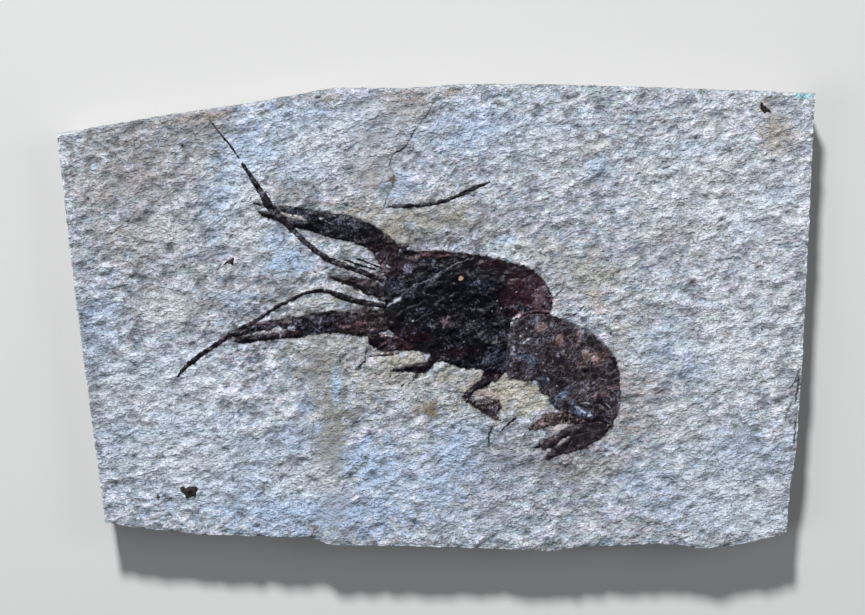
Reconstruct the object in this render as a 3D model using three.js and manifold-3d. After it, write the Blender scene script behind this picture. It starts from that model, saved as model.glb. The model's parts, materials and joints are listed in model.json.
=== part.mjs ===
// A fossil lobster: a small crayfish, pressed flat on a plate of pale tuffaceous shale.
//
// Millimetres. The plate lies on its back with its face up. +X runs from the claws to the tail,
// +Y from the belly to the back of the animal, and +Z out of the face. The origin is the middle of
// the plate's underside.
//
// The animal is a set of thin dark plates, one for each hard piece of its shell, lying on the face.
// A broad piece is given by an outline of [x, y] points joined by a smooth closed curve. A thin one
// is given by a run of [x, y, half width] points along its middle, with a fourth number where it
// passes over another piece: how far its underside stands above the face.

import * as THREE from 'three';
import { mergeVertices } from 'three/addons/utils/BufferGeometryUtils.js';
import Module from 'manifold-3d';

// Driving dimensions

const plateThickness = 10;
const plateArris = 0.6; // worn arris round both faces of the plate

const shellHeight = 1.2; // carapace, above the face
const tailHeight = 1.0; // abdomen and tail fan
const clawHeight = 0.7;
const limbHeight = 0.5; // antennae, legs and mouthparts
const fleckHeight = 0.3; // crumbs of plant matter
const overClaw = clawHeight + 0.3; // underside of an antenna where it crosses a claw

const footHeight = 0.15; // upright rim of a plate, below its sloping side
const broadSlope = 0.25; // how far a broad plate's side leans in
const narrowSlope = 0.1;
const crownShare = 0.6; // width of a thin run's top, as a share of its foot
const jointGap = 0.3; // between two rings of the abdomen

const outlineSteps = 2; // curve points for each point of an outline
const runSteps = 3;

// Colours

const paleShale = 0xb3bdc9;
const blackCuticle = 0x1c1a22;
const brownCuticle = 0x33252a;
const plantDark = 0x2a2722;

// The plate: sawn down the left side, broken along the other three

const plateOutline = [
	[-90, 43.6], [-66.4, 47.7], [-44.1, 51], [-32.3, 53], [-24, 54.6], [-7.4, 54.4], [6.2, 55.4],
	[24.7, 55.4], [51.9, 54.6], [79.2, 53.7], [90, 53.2], [89.1, 35.1], [88.2, 15.5], [87.3, -2.5],
	[86.7, -12.9], [85.7, -29.5], [84.1, -40.1], [83.1, -51.4], [79.1, -52.1], [73.7, -53.5],
	[69.7, -54.2], [61.9, -54.8], [57.4, -53.9], [52.8, -53.6], [42.8, -54.1], [34.1, -54.4],
	[28.2, -55.4], [22.3, -55.3], [9.5, -54.7], [-7.4, -54.2], [-24.7, -54], [-30.2, -52.1],
	[-37, -52.1], [-56, -51.5], [-70.2, -49.9], [-78.5, -48.7], [-81.2, -28.4], [-86.1, 8.9]
];

// Head and body shield, seen from its left side

const carapaceOutline = [
	[-9.1, 13.2], [-8.6, 15.2], [-7.4, 15.9], [-5.5, 15.9], [-4.3, 15.5], [-2.1, 15.8], [2.1, 15.7],
	[5, 15.1], [8.5, 14.9], [11.8, 14.5], [16.1, 13.4], [19.9, 12.3], [22.5, 11.4], [24.7, 9.5],
	[26.3, 7.5], [27.3, 5.6], [27.5, 3.4], [27, 1.1], [23.7, 1.2], [21.3, 0.9], [19.9, -0.1],
	[17.7, -0.8], [16.9, -4.4], [16.3, -8.2], [16.1, -13.2], [13.7, -12.9], [9.9, -12.1], [6.6, -12],
	[3.1, -10.9], [1.2, -10.3], [-0.5, -10.6], [-2.1, -10], [-3.6, -8], [-5.7, -5.8], [-8.6, -4.4],
	[-10.9, -3], [-11.9, -0.6], [-12, 2.2], [-11.9, 4.6], [-12.3, 6.7], [-11.9, 9.1], [-10.7, 10.8]
];

// Abdomen: one curled outline, parted into six rings by five joint lines from its back to its belly

const abdomenOutline = [
	[17.4, -4.2], [18.3, -1.5], [19.7, -0.9], [20.9, 0], [21.8, 0.5], [23.9, 0.7], [26.1, 0.6],
	[28, 0.2], [29.9, -0.7], [32, -1.3], [33.7, -2.3], [35.6, -3], [37, -3.9], [38.9, -5.6],
	[41, -7.6], [42.2, -9.4], [42.9, -11.5], [43.5, -14.1], [43.3, -15.8], [43.7, -17.7],
	[43.7, -19.6], [43.2, -22], [41.7, -24.9], [38.4, -24], [35.3, -24], [32.5, -22.9], [29.9, -22],
	[28.5, -21.6], [27.5, -20.1], [26.3, -18.3], [24.9, -17.8], [24.3, -16], [23.8, -14.6],
	[22.5, -15], [20.9, -15.1], [19.4, -14.5], [17, -13.9], [16.9, -8.9]
];

const jointLines = [
	[[16, 6], [14, -5], [15, -18]],
	[[23.9, 2.2], [21.6, -5.3], [18.7, -15.8]],
	[[28.9, 1.3], [27.3, -6.5], [22.5, -16.5]],
	[[35.6, -1.1], [32, -8.4], [24.7, -19.1]],
	[[44.6, -8.9], [37, -11.8], [26.3, -20.3]],
	[[45.3, -15.8], [37.7, -17.4], [27.5, -22.7]],
	[[46, -27], [36, -27], [24, -24]]
];

// Tail fan

const upperUropodOutline = [
	[37.5, -24.7], [34.6, -24.5], [32.2, -23.3], [30.1, -22.5], [28.2, -22.8], [26.1, -23],
	[24.4, -24.3], [22.8, -25.7], [21.3, -26.5], [23.5, -26.6], [26.1, -26], [28.5, -25.3],
	[30.8, -24.9], [33.7, -25.1]
];

const telsonOutline = [
	[39.6, -25.2], [36, -25.3], [33, -25.6], [30.8, -26.2], [28.9, -27.6], [26.8, -28.6],
	[25.2, -29.8], [25.1, -31], [27.5, -30.9], [29, -29.6], [30.8, -28.2], [33.4, -27.5],
	[37, -26.7], [40.1, -25.9]
];

const telsonTipOutline = [[23, -30.8], [24.1, -30.3], [24.7, -29.4], [24.7, -31]];

const lowerUropodOutline = [
	[41.6, -25.4], [40.3, -26.3], [37, -27.1], [33.4, -28], [31.3, -28.8], [29.7, -30.3],
	[27.5, -31.5], [26.1, -33.8], [28.5, -32.8], [31.3, -32], [34.4, -31.3], [36.8, -30],
	[39.8, -28.1], [40.8, -26.7]
];

// Upper claw, from its two fingers to the arm that meets the head

const upperPalmOutline = [
	[-43.2, 27.1], [-42.2, 27.2], [-40.6, 26.7], [-38.2, 26.5], [-34.6, 26.1], [-31.3, 25.9],
	[-27.5, 25.1], [-24, 24.5], [-21.1, 24.2], [-19, 23.6], [-17.3, 22.8], [-17.5, 20.3],
	[-18.2, 17.4], [-19.9, 18], [-21.8, 18.4], [-22.3, 20.4], [-23.5, 21.6], [-26.3, 22.7],
	[-28.5, 23], [-30.6, 23.2], [-31.6, 23.9], [-33, 24.4], [-35.1, 24.8], [-37.7, 25.4],
	[-40.1, 26.1]
];

const upperFingerOutline = [
	[-42.6, 25.3], [-40.6, 25.1], [-38.2, 24.7], [-35.8, 24], [-33.2, 23.3], [-31.1, 22.8],
	[-28.5, 22.6], [-26.3, 22.3], [-24, 21.3], [-22.8, 20.2], [-22.3, 18.5], [-25.2, 19.1],
	[-27.8, 20], [-30.4, 20.7], [-33.2, 21.4], [-35.4, 21.8], [-37.2, 22.9], [-39.4, 23.5],
	[-41.3, 24.3]
];

const upperWristOutline = [
	[-16.7, 22.5], [-15.2, 21.9], [-13.5, 20.8], [-12.1, 19.7], [-11.9, 18.1], [-12.6, 16.1],
	[-13.2, 15.2], [-14.4, 14.6], [-15, 15.5], [-15.7, 16.2], [-16.6, 16.5], [-17.6, 17.2], [-17, 20]
];

const upperArmOutline = [
	[-11.6, 19.4], [-10.4, 18.4], [-8.6, 17.4], [-6.9, 16.7], [-8.6, 16.3], [-9.2, 15.4],
	[-9.5, 14.4], [-9.7, 13.2], [-10.9, 11.3], [-12.1, 10.1], [-12.9, 12], [-14, 13.7], [-14, 14.2],
	[-12.8, 14.8], [-12.1, 16], [-11.4, 17.9]
];

// Lower claw

const lowerPalmOutline = [
	[-49.3, -3.8], [-46.7, -2.9], [-44.1, -2.3], [-41.8, -1.4], [-38.9, -0.8], [-35.6, -0.4],
	[-32.3, 0.2], [-28.7, 0.9], [-26.1, 1.3], [-24.1, 1.4], [-24.3, -1.1], [-24.2, -3.5],
	[-27.1, -3.7], [-30.1, -4.1], [-31.3, -4.3], [-31.6, -3.5], [-33, -2.9], [-34.6, -2.6],
	[-36.3, -2.6], [-37, -2], [-38.2, -2.2], [-39.4, -2.9], [-42.2, -3.2], [-46.3, -4.2],
	[-48.2, -4.5]
];

const lowerFingerOutline = [
	[-47.9, -5.7], [-47.4, -5.1], [-45.3, -4.6], [-43.2, -4.4], [-40.8, -4.1], [-38.9, -3.8],
	[-36.5, -3.6], [-34.6, -3], [-33, -3.2], [-31.9, -3.7], [-31.7, -4.4], [-33, -4.9],
	[-36.1, -4.9], [-39.4, -5.3], [-42.2, -5.6], [-45.1, -6.1]
];

const lowerWristOutline = [
	[-23.6, 1.4], [-21.6, 1.5], [-19.1, 1.9], [-18.7, -1.1], [-19.1, -4.2], [-21.4, -3.8],
	[-23.6, -3.5], [-23.8, -1.1]
];

const lowerArmOutline = [
	[-18.5, 2], [-16.6, 2.2], [-14.2, 1.9], [-12.5, 1.8], [-12.4, -0.6], [-11.7, -3.1],
	[-13.3, -3.4], [-15.2, -3.9], [-16.9, -4.5], [-18.5, -4.2], [-18.1, -1.1]
];

// Antennae

const upperAntennaRun = [
	[-12.5, 8.6, 0.45], [-15.9, 10.1, 0.52], [-19, 11.3, 0.52], [-22.3, 12.5, 0.57],
	[-25.2, 13.6, 0.57], [-28, 15.4, 0.55], [-30.6, 17.5, 0.57], [-33, 19.8, 0.55, overClaw],
	[-35.1, 21.8, 0.62, overClaw], [-37.7, 24.5, 0.76, overClaw], [-39.4, 26.3, 0.95, overClaw],
	[-40.5, 28.1, 0.95, overClaw], [-42, 30.5, 0.71], [-44.1, 33.7, 0.55], [-46, 36.8, 0.36]
];

const upperAntennaTipRun = [[-46.7, 37.7, 0.19], [-48.9, 40.9, 0.26], [-51.2, 43.7, 0.24], [-53.7, 46.8, 0.12]];

const lowerAntennaRun = [
	[-12.6, 2.9, 0.42], [-16.6, 3.4, 0.47], [-19.9, 4.1, 0.52], [-22.8, 5.1, 0.55], [-25.2, 6, 0.5],
	[-28.5, 6.3, 0.43], [-31.6, 5.5, 0.38], [-36.1, 3.4, 0.38], [-39.4, 1.5, 0.43],
	[-42.2, -0.5, 0.43, overClaw], [-44.6, -1.8, 0.47, overClaw], [-46.7, -2.9, 0.52, overClaw],
	[-49.1, -4.4, 0.52, overClaw], [-52, -6.3, 0.57], [-55.3, -8.6, 0.64], [-58.4, -10.9, 0.59],
	[-60.3, -12.7, 0.4], [-61.3, -14.1, 0.12]
];

const looseAntennaRun = [
	[-11.4, 26.4, 0.28], [-7.8, 26.4, 0.36], [-3.8, 26.6, 0.36], [0, 27.2, 0.38], [3.8, 28.3, 0.38],
	[7.3, 29.8, 0.4], [10.2, 31.2, 0.33], [12.8, 32.1, 0.19]
];

const upperAntennuleRun = [
	[-19, 14, 0.17], [-18, 13.7, 0.28], [-16.6, 13.2, 0.24], [-15, 12.5, 0.24], [-13.7, 12.05, 0.22]
];

const lowerAntennuleRun = [
	[-22, 13.8, 0.14], [-20.6, 13.4, 0.21], [-19, 12.7, 0.24], [-17.1, 12.1, 0.24], [-14.5, 11.5, 0.19]
];

const antennalScaleOutline = [
	[-25.4, 9.8], [-24.2, 9.7], [-22.1, 9.5], [-20.2, 9.5], [-18.7, 9.1], [-16.6, 9.1], [-15, 8.6],
	[-13.6, 8], [-12.7, 6.8], [-12.6, 5.2], [-12.5, 3.9], [-13.8, 4.4], [-15, 5.3], [-16.6, 5.4],
	[-17.6, 6.3], [-19, 6.6], [-19.9, 7.4], [-21.8, 8.1], [-23.7, 8.8]
];

// Mouthparts and legs, below the head

const maxillipedOutline = [
	[-15.7, -6.2], [-16, -5.1], [-15.3, -4.5], [-14, -4.2], [-12.6, -4.2], [-11.4, -3.9], [-9, -4.9],
	[-6.2, -6.3], [-4.4, -7.8], [-6.7, -7.8], [-9, -7.8], [-10.9, -8], [-12.8, -8], [-14.2, -7.4]
];

const palpRun = [[-16.4, -9.4, 0.12], [-14.7, -9, 0.21], [-12.8, -8.9, 0.28], [-10.9, -8.8, 0.24], [-8.7, -8.4, 0.12]];

const walkingLegOutline = [
	[-10.9, -12.5], [-9.3, -12.2], [-7.6, -11.7], [-5.7, -11.1], [-3.8, -10.8], [-2.1, -10.6],
	[-0.9, -11.1], [-1, -11.7], [-1.9, -12.7], [-3.6, -13.1], [-5.7, -12.9], [-8.1, -12.7],
	[-10, -12.7]
];

const bentLegUpperOutline = [
	[11.5, -13], [13.4, -13.5], [13.3, -14.8], [12.6, -15.8], [11.4, -16.6], [9.7, -17.1],
	[8.6, -17.9], [8.2, -18.8], [6.2, -18.9], [6.9, -18], [8.3, -16.7], [9.5, -15.6], [10.5, -14.8],
	[10.9, -14]
];

const bentLegLowerOutline = [
	[6.5, -19.5], [8.4, -19.4], [9.7, -19.8], [11.4, -19.5], [13.3, -19.3], [14.7, -19.8],
	[15.2, -20.8], [15.1, -22], [14.5, -22.5], [15.1, -24.2], [14, -24.3], [12.3, -23.3],
	[10.4, -22.1], [8.3, -20.7]
];

const legScaleOutline = [[14.1, -13.7], [15.4, -13.8], [14.9, -14.6], [14.1, -15.4], [13.9, -14.6]];

const legSplinterRun = [[19, -23.7, 0.21], [17.3, -25.1, 0.24], [15.5, -26.7, 0.17]];

// Crumbs of plant matter elsewhere on the face

const leftFleckOutline = [
	[-51.2, 11.6], [-50.4, 12.7], [-49.6, 13.4], [-48.6, 13.8], [-48, 14.3], [-47.9, 13.5],
	[-48.2, 12.3], [-48.9, 13], [-49.9, 12.6]
];

const cornerFleckOutline = [
	[77, 51.1], [77.7, 50.5], [78.6, 49.6], [79.8, 48.9], [78.9, 48.7], [77.9, 48.4], [77.2, 49.2],
	[76.8, 50.2]
];

const lowFleckOutline = [
	[-60.6, -40.3], [-59.9, -40], [-59.2, -40.5], [-58.4, -40], [-56.3, -40.2], [-56.2, -40.8],
	[-56.9, -41.3], [-56.9, -42.2], [-58.2, -42.6], [-59.2, -43.1], [-59.4, -42], [-60.4, -41.3]
];

const wasm = await Module();
wasm.setup();

const specimen = new THREE.Group();
const animal = new THREE.Group();
animal.position.z = plateThickness;
specimen.add(animal);

buildPlate();
buildShield();
buildAbdomen();
buildTailFan();
buildUpperClaw();
buildLowerClaw();
buildAntennae();
buildLegs();
buildFlecks();

export default specimen;

// Pieces

function buildPlate() {
	const shape = new THREE.Shape(plateOutline.map(([x, y]) => new THREE.Vector2(x, y)));
	const geometry = new THREE.ExtrudeGeometry(shape, {
		depth: plateThickness - 2 * plateArris,
		bevelThickness: plateArris,
		bevelSize: plateArris,
		bevelOffset: -plateArris,
		bevelSegments: 1
	});
	geometry.translate(0, 0, plateArris);
	addPiece(specimen, 'shale_plate', geometry, paleShale, 0.95);
}

function buildShield() {
	addPlate('carapace', carapaceOutline, shellHeight, broadSlope, blackCuticle);
}

function buildAbdomen() {
	const whole = toSolid(relief(abdomenOutline, tailHeight, broadSlope));
	for (let ring = 1; ring < jointLines.length; ring++) {
		const wedge = toSolid(between(jointLines[ring - 1], jointLines[ring]));
		addPiece(animal, `somite_${ring}`, toGeometry(whole.intersect(wedge)), blackCuticle, 0.5);
	}
}

function buildTailFan() {
	addPlate('uropod_upper', upperUropodOutline, tailHeight, narrowSlope, brownCuticle);
	addPlate('telson', telsonOutline, tailHeight, narrowSlope, blackCuticle);
	addPlate('telson_tip', telsonTipOutline, limbHeight, narrowSlope, blackCuticle);
	addPlate('uropod_lower', lowerUropodOutline, tailHeight, narrowSlope, blackCuticle);
}

function buildUpperClaw() {
	addPlate('upper_claw_palm', upperPalmOutline, clawHeight, narrowSlope, blackCuticle);
	addPlate('upper_claw_finger', upperFingerOutline, clawHeight, narrowSlope, blackCuticle);
	addPlate('upper_claw_wrist', upperWristOutline, clawHeight, broadSlope, blackCuticle);
	addPlate('upper_claw_arm', upperArmOutline, clawHeight, narrowSlope, brownCuticle);
}

function buildLowerClaw() {
	addPlate('lower_claw_palm', lowerPalmOutline, clawHeight, narrowSlope, blackCuticle);
	addPlate('lower_claw_finger', lowerFingerOutline, clawHeight, narrowSlope, blackCuticle);
	addPlate('lower_claw_wrist', lowerWristOutline, clawHeight, broadSlope, brownCuticle);
	addPlate('lower_claw_arm', lowerArmOutline, clawHeight, broadSlope, brownCuticle);
}

function buildAntennae() {
	addRun('antenna_upper', upperAntennaRun, blackCuticle);
	addRun('antenna_upper_tip', upperAntennaTipRun, brownCuticle);
	addRun('antenna_lower', lowerAntennaRun, blackCuticle);
	addRun('antenna_loose', looseAntennaRun, blackCuticle);
	addRun('antennule_upper', upperAntennuleRun, blackCuticle);
	addRun('antennule_lower', lowerAntennuleRun, blackCuticle);
	addPlate('antennal_scale', antennalScaleOutline, limbHeight, narrowSlope, brownCuticle);
}

function buildLegs() {
	addPlate('maxilliped', maxillipedOutline, limbHeight, narrowSlope, brownCuticle);
	addRun('maxilliped_palp', palpRun, blackCuticle);
	addPlate('walking_leg', walkingLegOutline, limbHeight, narrowSlope, blackCuticle);
	addPlate('bent_leg_upper', bentLegUpperOutline, limbHeight, narrowSlope, blackCuticle);
	addPlate('bent_leg_lower', bentLegLowerOutline, limbHeight, narrowSlope, brownCuticle);
	addPlate('leg_scale', legScaleOutline, limbHeight, narrowSlope, brownCuticle);
	addRun('leg_splinter', legSplinterRun, blackCuticle);
}

function buildFlecks() {
	addPlate('plant_fleck_left', leftFleckOutline, fleckHeight, narrowSlope, plantDark);
	addPlate('plant_fleck_corner', cornerFleckOutline, fleckHeight, narrowSlope, plantDark);
	addPlate('plant_fleck_low', lowFleckOutline, fleckHeight, narrowSlope, plantDark);
}

// Shapes

// A closed plate standing on z = 0: an upright rim, then a side that leans in to a flat top.
// It is extruded with a bevel at both ends, and the lower bevel is pressed flat into the foot.
function relief(points, height, slope) {
	const corners = points.map(([x, y]) => new THREE.Vector3(x, y, 0));
	const curve = new THREE.CatmullRomCurve3(corners, true, 'centripetal');
	const loop = curve.getPoints(points.length * outlineSteps);
	loop.pop();
	const shape = new THREE.Shape(loop.map((p) => new THREE.Vector2(p.x, p.y)));
	const geometry = new THREE.ExtrudeGeometry(shape, {
		depth: footHeight,
		bevelThickness: height - footHeight,
		bevelSize: slope,
		bevelOffset: -slope,
		bevelSegments: 1
	});
	const position = geometry.attributes.position;
	for (let i = 0; i < position.count; i++) {
		position.setZ(i, Math.max(position.getZ(i), 0));
	}
	return geometry;
}

// The block of space between two joint lines, drawn in by half the joint's gap on each side.
function between(before, after) {
	const margin = 1;
	const near = sideStep(before, jointGap / 2);
	const far = sideStep(after, -jointGap / 2);
	const shape = new THREE.Shape([...near, ...far.reverse()]);
	const geometry = new THREE.ExtrudeGeometry(shape, {
		depth: tailHeight + 2 * margin,
		bevelEnabled: false
	});
	geometry.translate(0, 0, -margin);
	return geometry;
}

// A joint line moved sideways, towards the tail where the distance is positive.
function sideStep(line, distance) {
	const along = new THREE.Vector2(line[2][0] - line[0][0], line[2][1] - line[0][1]).normalize();
	return line.map(([x, y]) => new THREE.Vector2(x - along.y * distance, y + along.x * distance));
}

// A closed strip that follows a run of points: each ring across it is a low trapezium.
function strip(run, height) {
	const middle = new THREE.CatmullRomCurve3(
		run.map(([x, y, , lift = 0]) => new THREE.Vector3(x, y, lift)), false, 'centripetal');
	const breadth = new THREE.CatmullRomCurve3(
		run.map(([, , half], i) => new THREE.Vector3(i, half, 0)), false, 'centripetal');
	const last = (run.length - 1) * runSteps;
	const vertices = [];
	const faces = [];
	for (let i = 0; i <= last; i++) {
		const centre = middle.getPoint(i / last);
		const along = middle.getTangent(i / last).setZ(0).normalize();
		const across = new THREE.Vector3(-along.y, along.x, 0);
		const half = breadth.getPoint(i / last).y;
		const foot = Math.max(centre.z, 0);
		for (const [share, z] of [[1, foot], [crownShare, foot + height], [-crownShare, foot + height], [-1, foot]]) {
			vertices.push(centre.x + across.x * half * share, centre.y + across.y * half * share, z);
		}
	}
	for (let i = 0; i < last; i++) {
		for (let side = 0; side < 4; side++) {
			const a = 4 * i + side;
			const b = 4 * i + (side + 1) % 4;
			faces.push(a, b, a + 4, b, b + 4, a + 4);
		}
	}
	const end = 4 * last;
	faces.push(0, 2, 1, 0, 3, 2, end, end + 1, end + 2, end, end + 2, end + 3);
	const geometry = new THREE.BufferGeometry();
	geometry.setAttribute('position', new THREE.Float32BufferAttribute(vertices, 3));
	geometry.setIndex(faces);
	return geometry;
}

// Scene graph

function addPlate(name, outline, height, slope, colour) {
	addPiece(animal, name, relief(outline, height, slope), colour, 0.5);
}

function addRun(name, run, colour) {
	addPiece(animal, name, strip(run, limbHeight), colour, 0.6);
}

function addPiece(parent, name, geometry, colour, roughness) {
	geometry.computeVertexNormals();
	const material = new THREE.MeshStandardMaterial({ color: colour, roughness, metalness: 0 });
	const mesh = new THREE.Mesh(geometry, material);
	mesh.name = name;
	parent.add(mesh);
}

// Booleans

function toSolid(geometry) {
	const bare = geometry.clone();
	bare.deleteAttribute('normal');
	bare.deleteAttribute('uv');
	const merged = mergeVertices(bare);
	return new wasm.Manifold(new wasm.Mesh({
		numProp: 3,
		vertProperties: new Float32Array(merged.attributes.position.array),
		triVerts: new Uint32Array(merged.index.array)
	}));
}

function toGeometry(solid) {
	const mesh = solid.getMesh();
	const geometry = new THREE.BufferGeometry();
	geometry.setAttribute('position', new THREE.BufferAttribute(mesh.vertProperties, 3));
	geometry.setIndex(new THREE.BufferAttribute(mesh.triVerts, 1));
	return geometry;
}
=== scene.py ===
# A small crayfish pressed flat on a plate of tuffaceous shale, which lies on its back with its face up.
# Blender works in metres. The settings below are in millimetres, in the same frame as the CAD:
# +X from the claws to the tail, +Y from the belly side to the back, +Z out of the face.
import json
import math
import bpy
import numpy as np
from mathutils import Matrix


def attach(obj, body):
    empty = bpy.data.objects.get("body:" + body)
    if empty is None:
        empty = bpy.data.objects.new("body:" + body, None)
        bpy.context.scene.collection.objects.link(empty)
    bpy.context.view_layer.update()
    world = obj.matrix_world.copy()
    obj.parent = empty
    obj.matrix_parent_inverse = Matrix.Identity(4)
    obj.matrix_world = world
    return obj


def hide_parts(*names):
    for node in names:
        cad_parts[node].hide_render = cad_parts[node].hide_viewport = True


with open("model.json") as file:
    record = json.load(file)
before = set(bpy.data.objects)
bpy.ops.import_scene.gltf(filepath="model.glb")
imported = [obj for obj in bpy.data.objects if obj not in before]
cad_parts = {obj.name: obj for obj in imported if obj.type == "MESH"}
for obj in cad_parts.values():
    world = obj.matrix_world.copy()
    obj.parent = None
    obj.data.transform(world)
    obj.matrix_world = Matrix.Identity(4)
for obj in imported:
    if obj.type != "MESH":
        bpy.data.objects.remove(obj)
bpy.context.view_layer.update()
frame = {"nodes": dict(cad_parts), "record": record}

mm = 0.001
faceHeight = 10.0  # the plate's face, before its grain

# Fields of smooth random height over the whole plate, periodic, so any point can be looked up

fieldStep = 0.16
fieldSize = (1312, 824)
fieldShift = 5000  # keeps the cell numbers over 0


def makeField(seed, coarsest, finest, fall, stretch=1.0, turn=0.0):  # wavelengths in mm, spread 1
    randomness = np.random.default_rng(seed)
    spectrum = np.fft.rfft2(randomness.standard_normal((fieldSize[1], fieldSize[0])))
    fy = np.fft.fftfreq(fieldSize[1], fieldStep)[:, None]
    fx = np.fft.rfftfreq(fieldSize[0], fieldStep)[None, :]
    c, s = math.cos(math.radians(turn)), math.sin(math.radians(turn))
    along = (fx * c + fy * s) * math.sqrt(stretch)
    across = (fy * c - fx * s) / math.sqrt(stretch)
    frequency = np.hypot(along, across) + 1e-9
    spectrum = spectrum * frequency ** -fall / (1 + (frequency * coarsest) ** -4.0)
    spectrum = spectrum * np.exp(-(frequency * finest) ** 2)
    spectrum[0, 0] = 0
    field = np.fft.irfft2(spectrum, (fieldSize[1], fieldSize[0]))
    return field / field.std()


def lookUp(field, x, y):  # a shift by tens of mm gives one more field that has nothing to do with it
    u, v = x / fieldStep + fieldShift, y / fieldStep + fieldShift
    i, j = np.floor(u).astype(int), np.floor(v).astype(int)
    a, b = u - i, v - j
    i0, i1 = i % fieldSize[0], (i + 1) % fieldSize[0]
    j0, j1 = j % fieldSize[1], (j + 1) % fieldSize[1]
    low = field[j0, i0] * (1 - a) + field[j0, i1] * a
    return low * (1 - b) + (field[j1, i0] * (1 - a) + field[j1, i1] * a) * b


def smooth(low, high, value):
    t = np.clip((value - low) / (high - low), 0, 1)
    return t * t * (3 - 2 * t)


def fade(amounts, distance):  # an amount, and the distances between which it fades to nothing
    amount, start, end = amounts
    return amount * (1 - smooth(start, end, distance))


def gain(amounts, distance):  # the least share, what it gains, and the distance that it takes
    least, more, reach = amounts
    return least + more * smooth(0, reach, distance)


rockRelief = {
    "swell": 0.13,  # long waves of the split face
    "lump": 0.19,  # lumps of 1 to 10 mm
    "grain": 0.06,  # finest grain that the mesh can carry
    "ledge": 0.16,  # height of the little steps that it splits in
    "stretch": 1.35,  # the grain runs a little longer along the bedding streaks
    "turn": 14.0,  # degrees
    "lumpNear": (0.9, 0.1, 3),  # lumps and grain are gentler at the fossil: least share, gain and reach
    "grainNear": (0.7, 0.3, 1.5),
    "grainSlender": (0.3, 0.7, 0.6),
    "rougher": (0.9, 1, 9),  # how much rougher the rock is round the fossil, from and to this distance
}

swellField = makeField(11, 60, 9, 1.2)
lumpField = makeField(12, 10, 1.1, 1.5, rockRelief["stretch"], rockRelief["turn"])
grainField = makeField(13, 2.6, 0.75, 0.8, rockRelief["stretch"], rockRelief["turn"])
raggedField = makeField(14, 2.6, 0.45, 0.9)
wobbleField = makeField(15, 7, 0.8, 1.1)
creaseField = makeField(16, 4, 0.5, 1.0, 2.0, 20)
print("fields of relief made")


def ground(x, y, near):  # height over the face; near is the distance to the fossil, under 0 below it
    lumps = rockRelief["lump"] * gain(rockRelief["lumpNear"], near)
    return rockRelief["swell"] * lookUp(swellField, x, y) + lumps * lookUp(lumpField, x, y)


# Outlines of the CAD pieces, seen from above

def outlineOf(node):  # the rim of the piece's underside, as a closed run of points in mm
    mesh = frame["nodes"][node].data
    corners = np.array([v.co for v in mesh.vertices]) / mm
    key = [tuple(np.round(c, 3)) for c in corners]
    following = {}
    for face in mesh.polygons:
        if face.normal.z < -0.5:
            loop = [key[v] for v in face.vertices]
            for a, b in zip(loop, loop[1:] + loop[:1]):
                if (b, a) in following:
                    del following[(b, a)]
                else:
                    following[(a, b)] = True
    after = {a: b for a, b in following}
    start = next(iter(after))
    run = [start]
    while after[run[-1]] != start:
        run.append(after[run[-1]])
    return np.array(run)[:, :2]


def toStretch(x, y, a, b):  # squared distance to the stretch from a to b
    ex, ey = b[0] - a[0], b[1] - a[1]
    t = np.clip(((x - a[0]) * ex + (y - a[1]) * ey) / (ex * ex + ey * ey + 1e-12), 0, 1)
    return (x - a[0] - t * ex) ** 2 + (y - a[1] - t * ey) ** 2


def signedDistance(x, y, loop):  # under 0 inside
    nearest = np.full(x.shape, 1e9)
    inside = np.zeros(x.shape, bool)
    for a, b in zip(loop, np.roll(loop, -1, 0)):
        nearest = np.minimum(nearest, toStretch(x, y, a, b))
        if a[1] != b[1]:
            reached = x < (b[0] - a[0]) * (y - a[1]) / (b[1] - a[1]) + a[0]
            inside ^= ((a[1] > y) != (b[1] > y)) & reached
    return np.where(inside, -1, 1) * np.sqrt(nearest)


outlines = {name: outlineOf(name) for name in frame["nodes"] if name != "shale_plate"}
slenderWords = ("antenna_", "antennule_", "palp", "splinter", "tip", "fleck")
broadPieces = {name for name in outlines if not any(word in name for word in slenderWords)}
print("outlines read:", len(outlines))


def distanceToFossil(x, y, names, reach=9.0):  # to the nearest piece, and the sum to the nearest two
    near, second = np.full(x.shape, reach), np.full(x.shape, reach)
    for name in names:
        loop = outlines[name]
        low, high = loop.min(0) - reach, loop.max(0) + reach
        close = (x > low[0]) & (x < high[0]) & (y > low[1]) & (y < high[1])
        if close.any():
            found = signedDistance(x[close], y[close], loop)
            second[close] = np.minimum(second[close], np.maximum(near[close], found))
            near[close] = np.minimum(near[close], found)
    return near, near + second


# Stains and marks, painted on the points of a mesh as shares from 0 to 1

spotReach = 2.2  # a spot ends within this many radii
lineReach = 1.5  # and a line within this many mm
gapRange = (0.1, 1.2)  # where a line breaks up
gapStretch = 0.6


def paintSpots(x, y, spots, feather=0.5, wobble=0.3):
    mask = np.zeros(x.shape)
    for cx, cy, rx, ry, strength, *turn in spots:
        reach = spotReach * max(rx, ry)
        near = (np.abs(x - cx) < reach) & (np.abs(y - cy) < reach)
        if not near.any():
            continue
        dx, dy = x[near] - cx, y[near] - cy
        angle = math.radians(turn[0]) if turn else 0
        c, s = math.cos(angle), math.sin(angle)
        radius = np.hypot((dx * c + dy * s) / rx, (dy * c - dx * s) / ry)
        radius = radius + wobble * lookUp(wobbleField, x[near], y[near])
        mask[near] = np.maximum(mask[near], strength * (1 - smooth(1 - feather, 1 + feather, radius)))
    return mask


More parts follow.
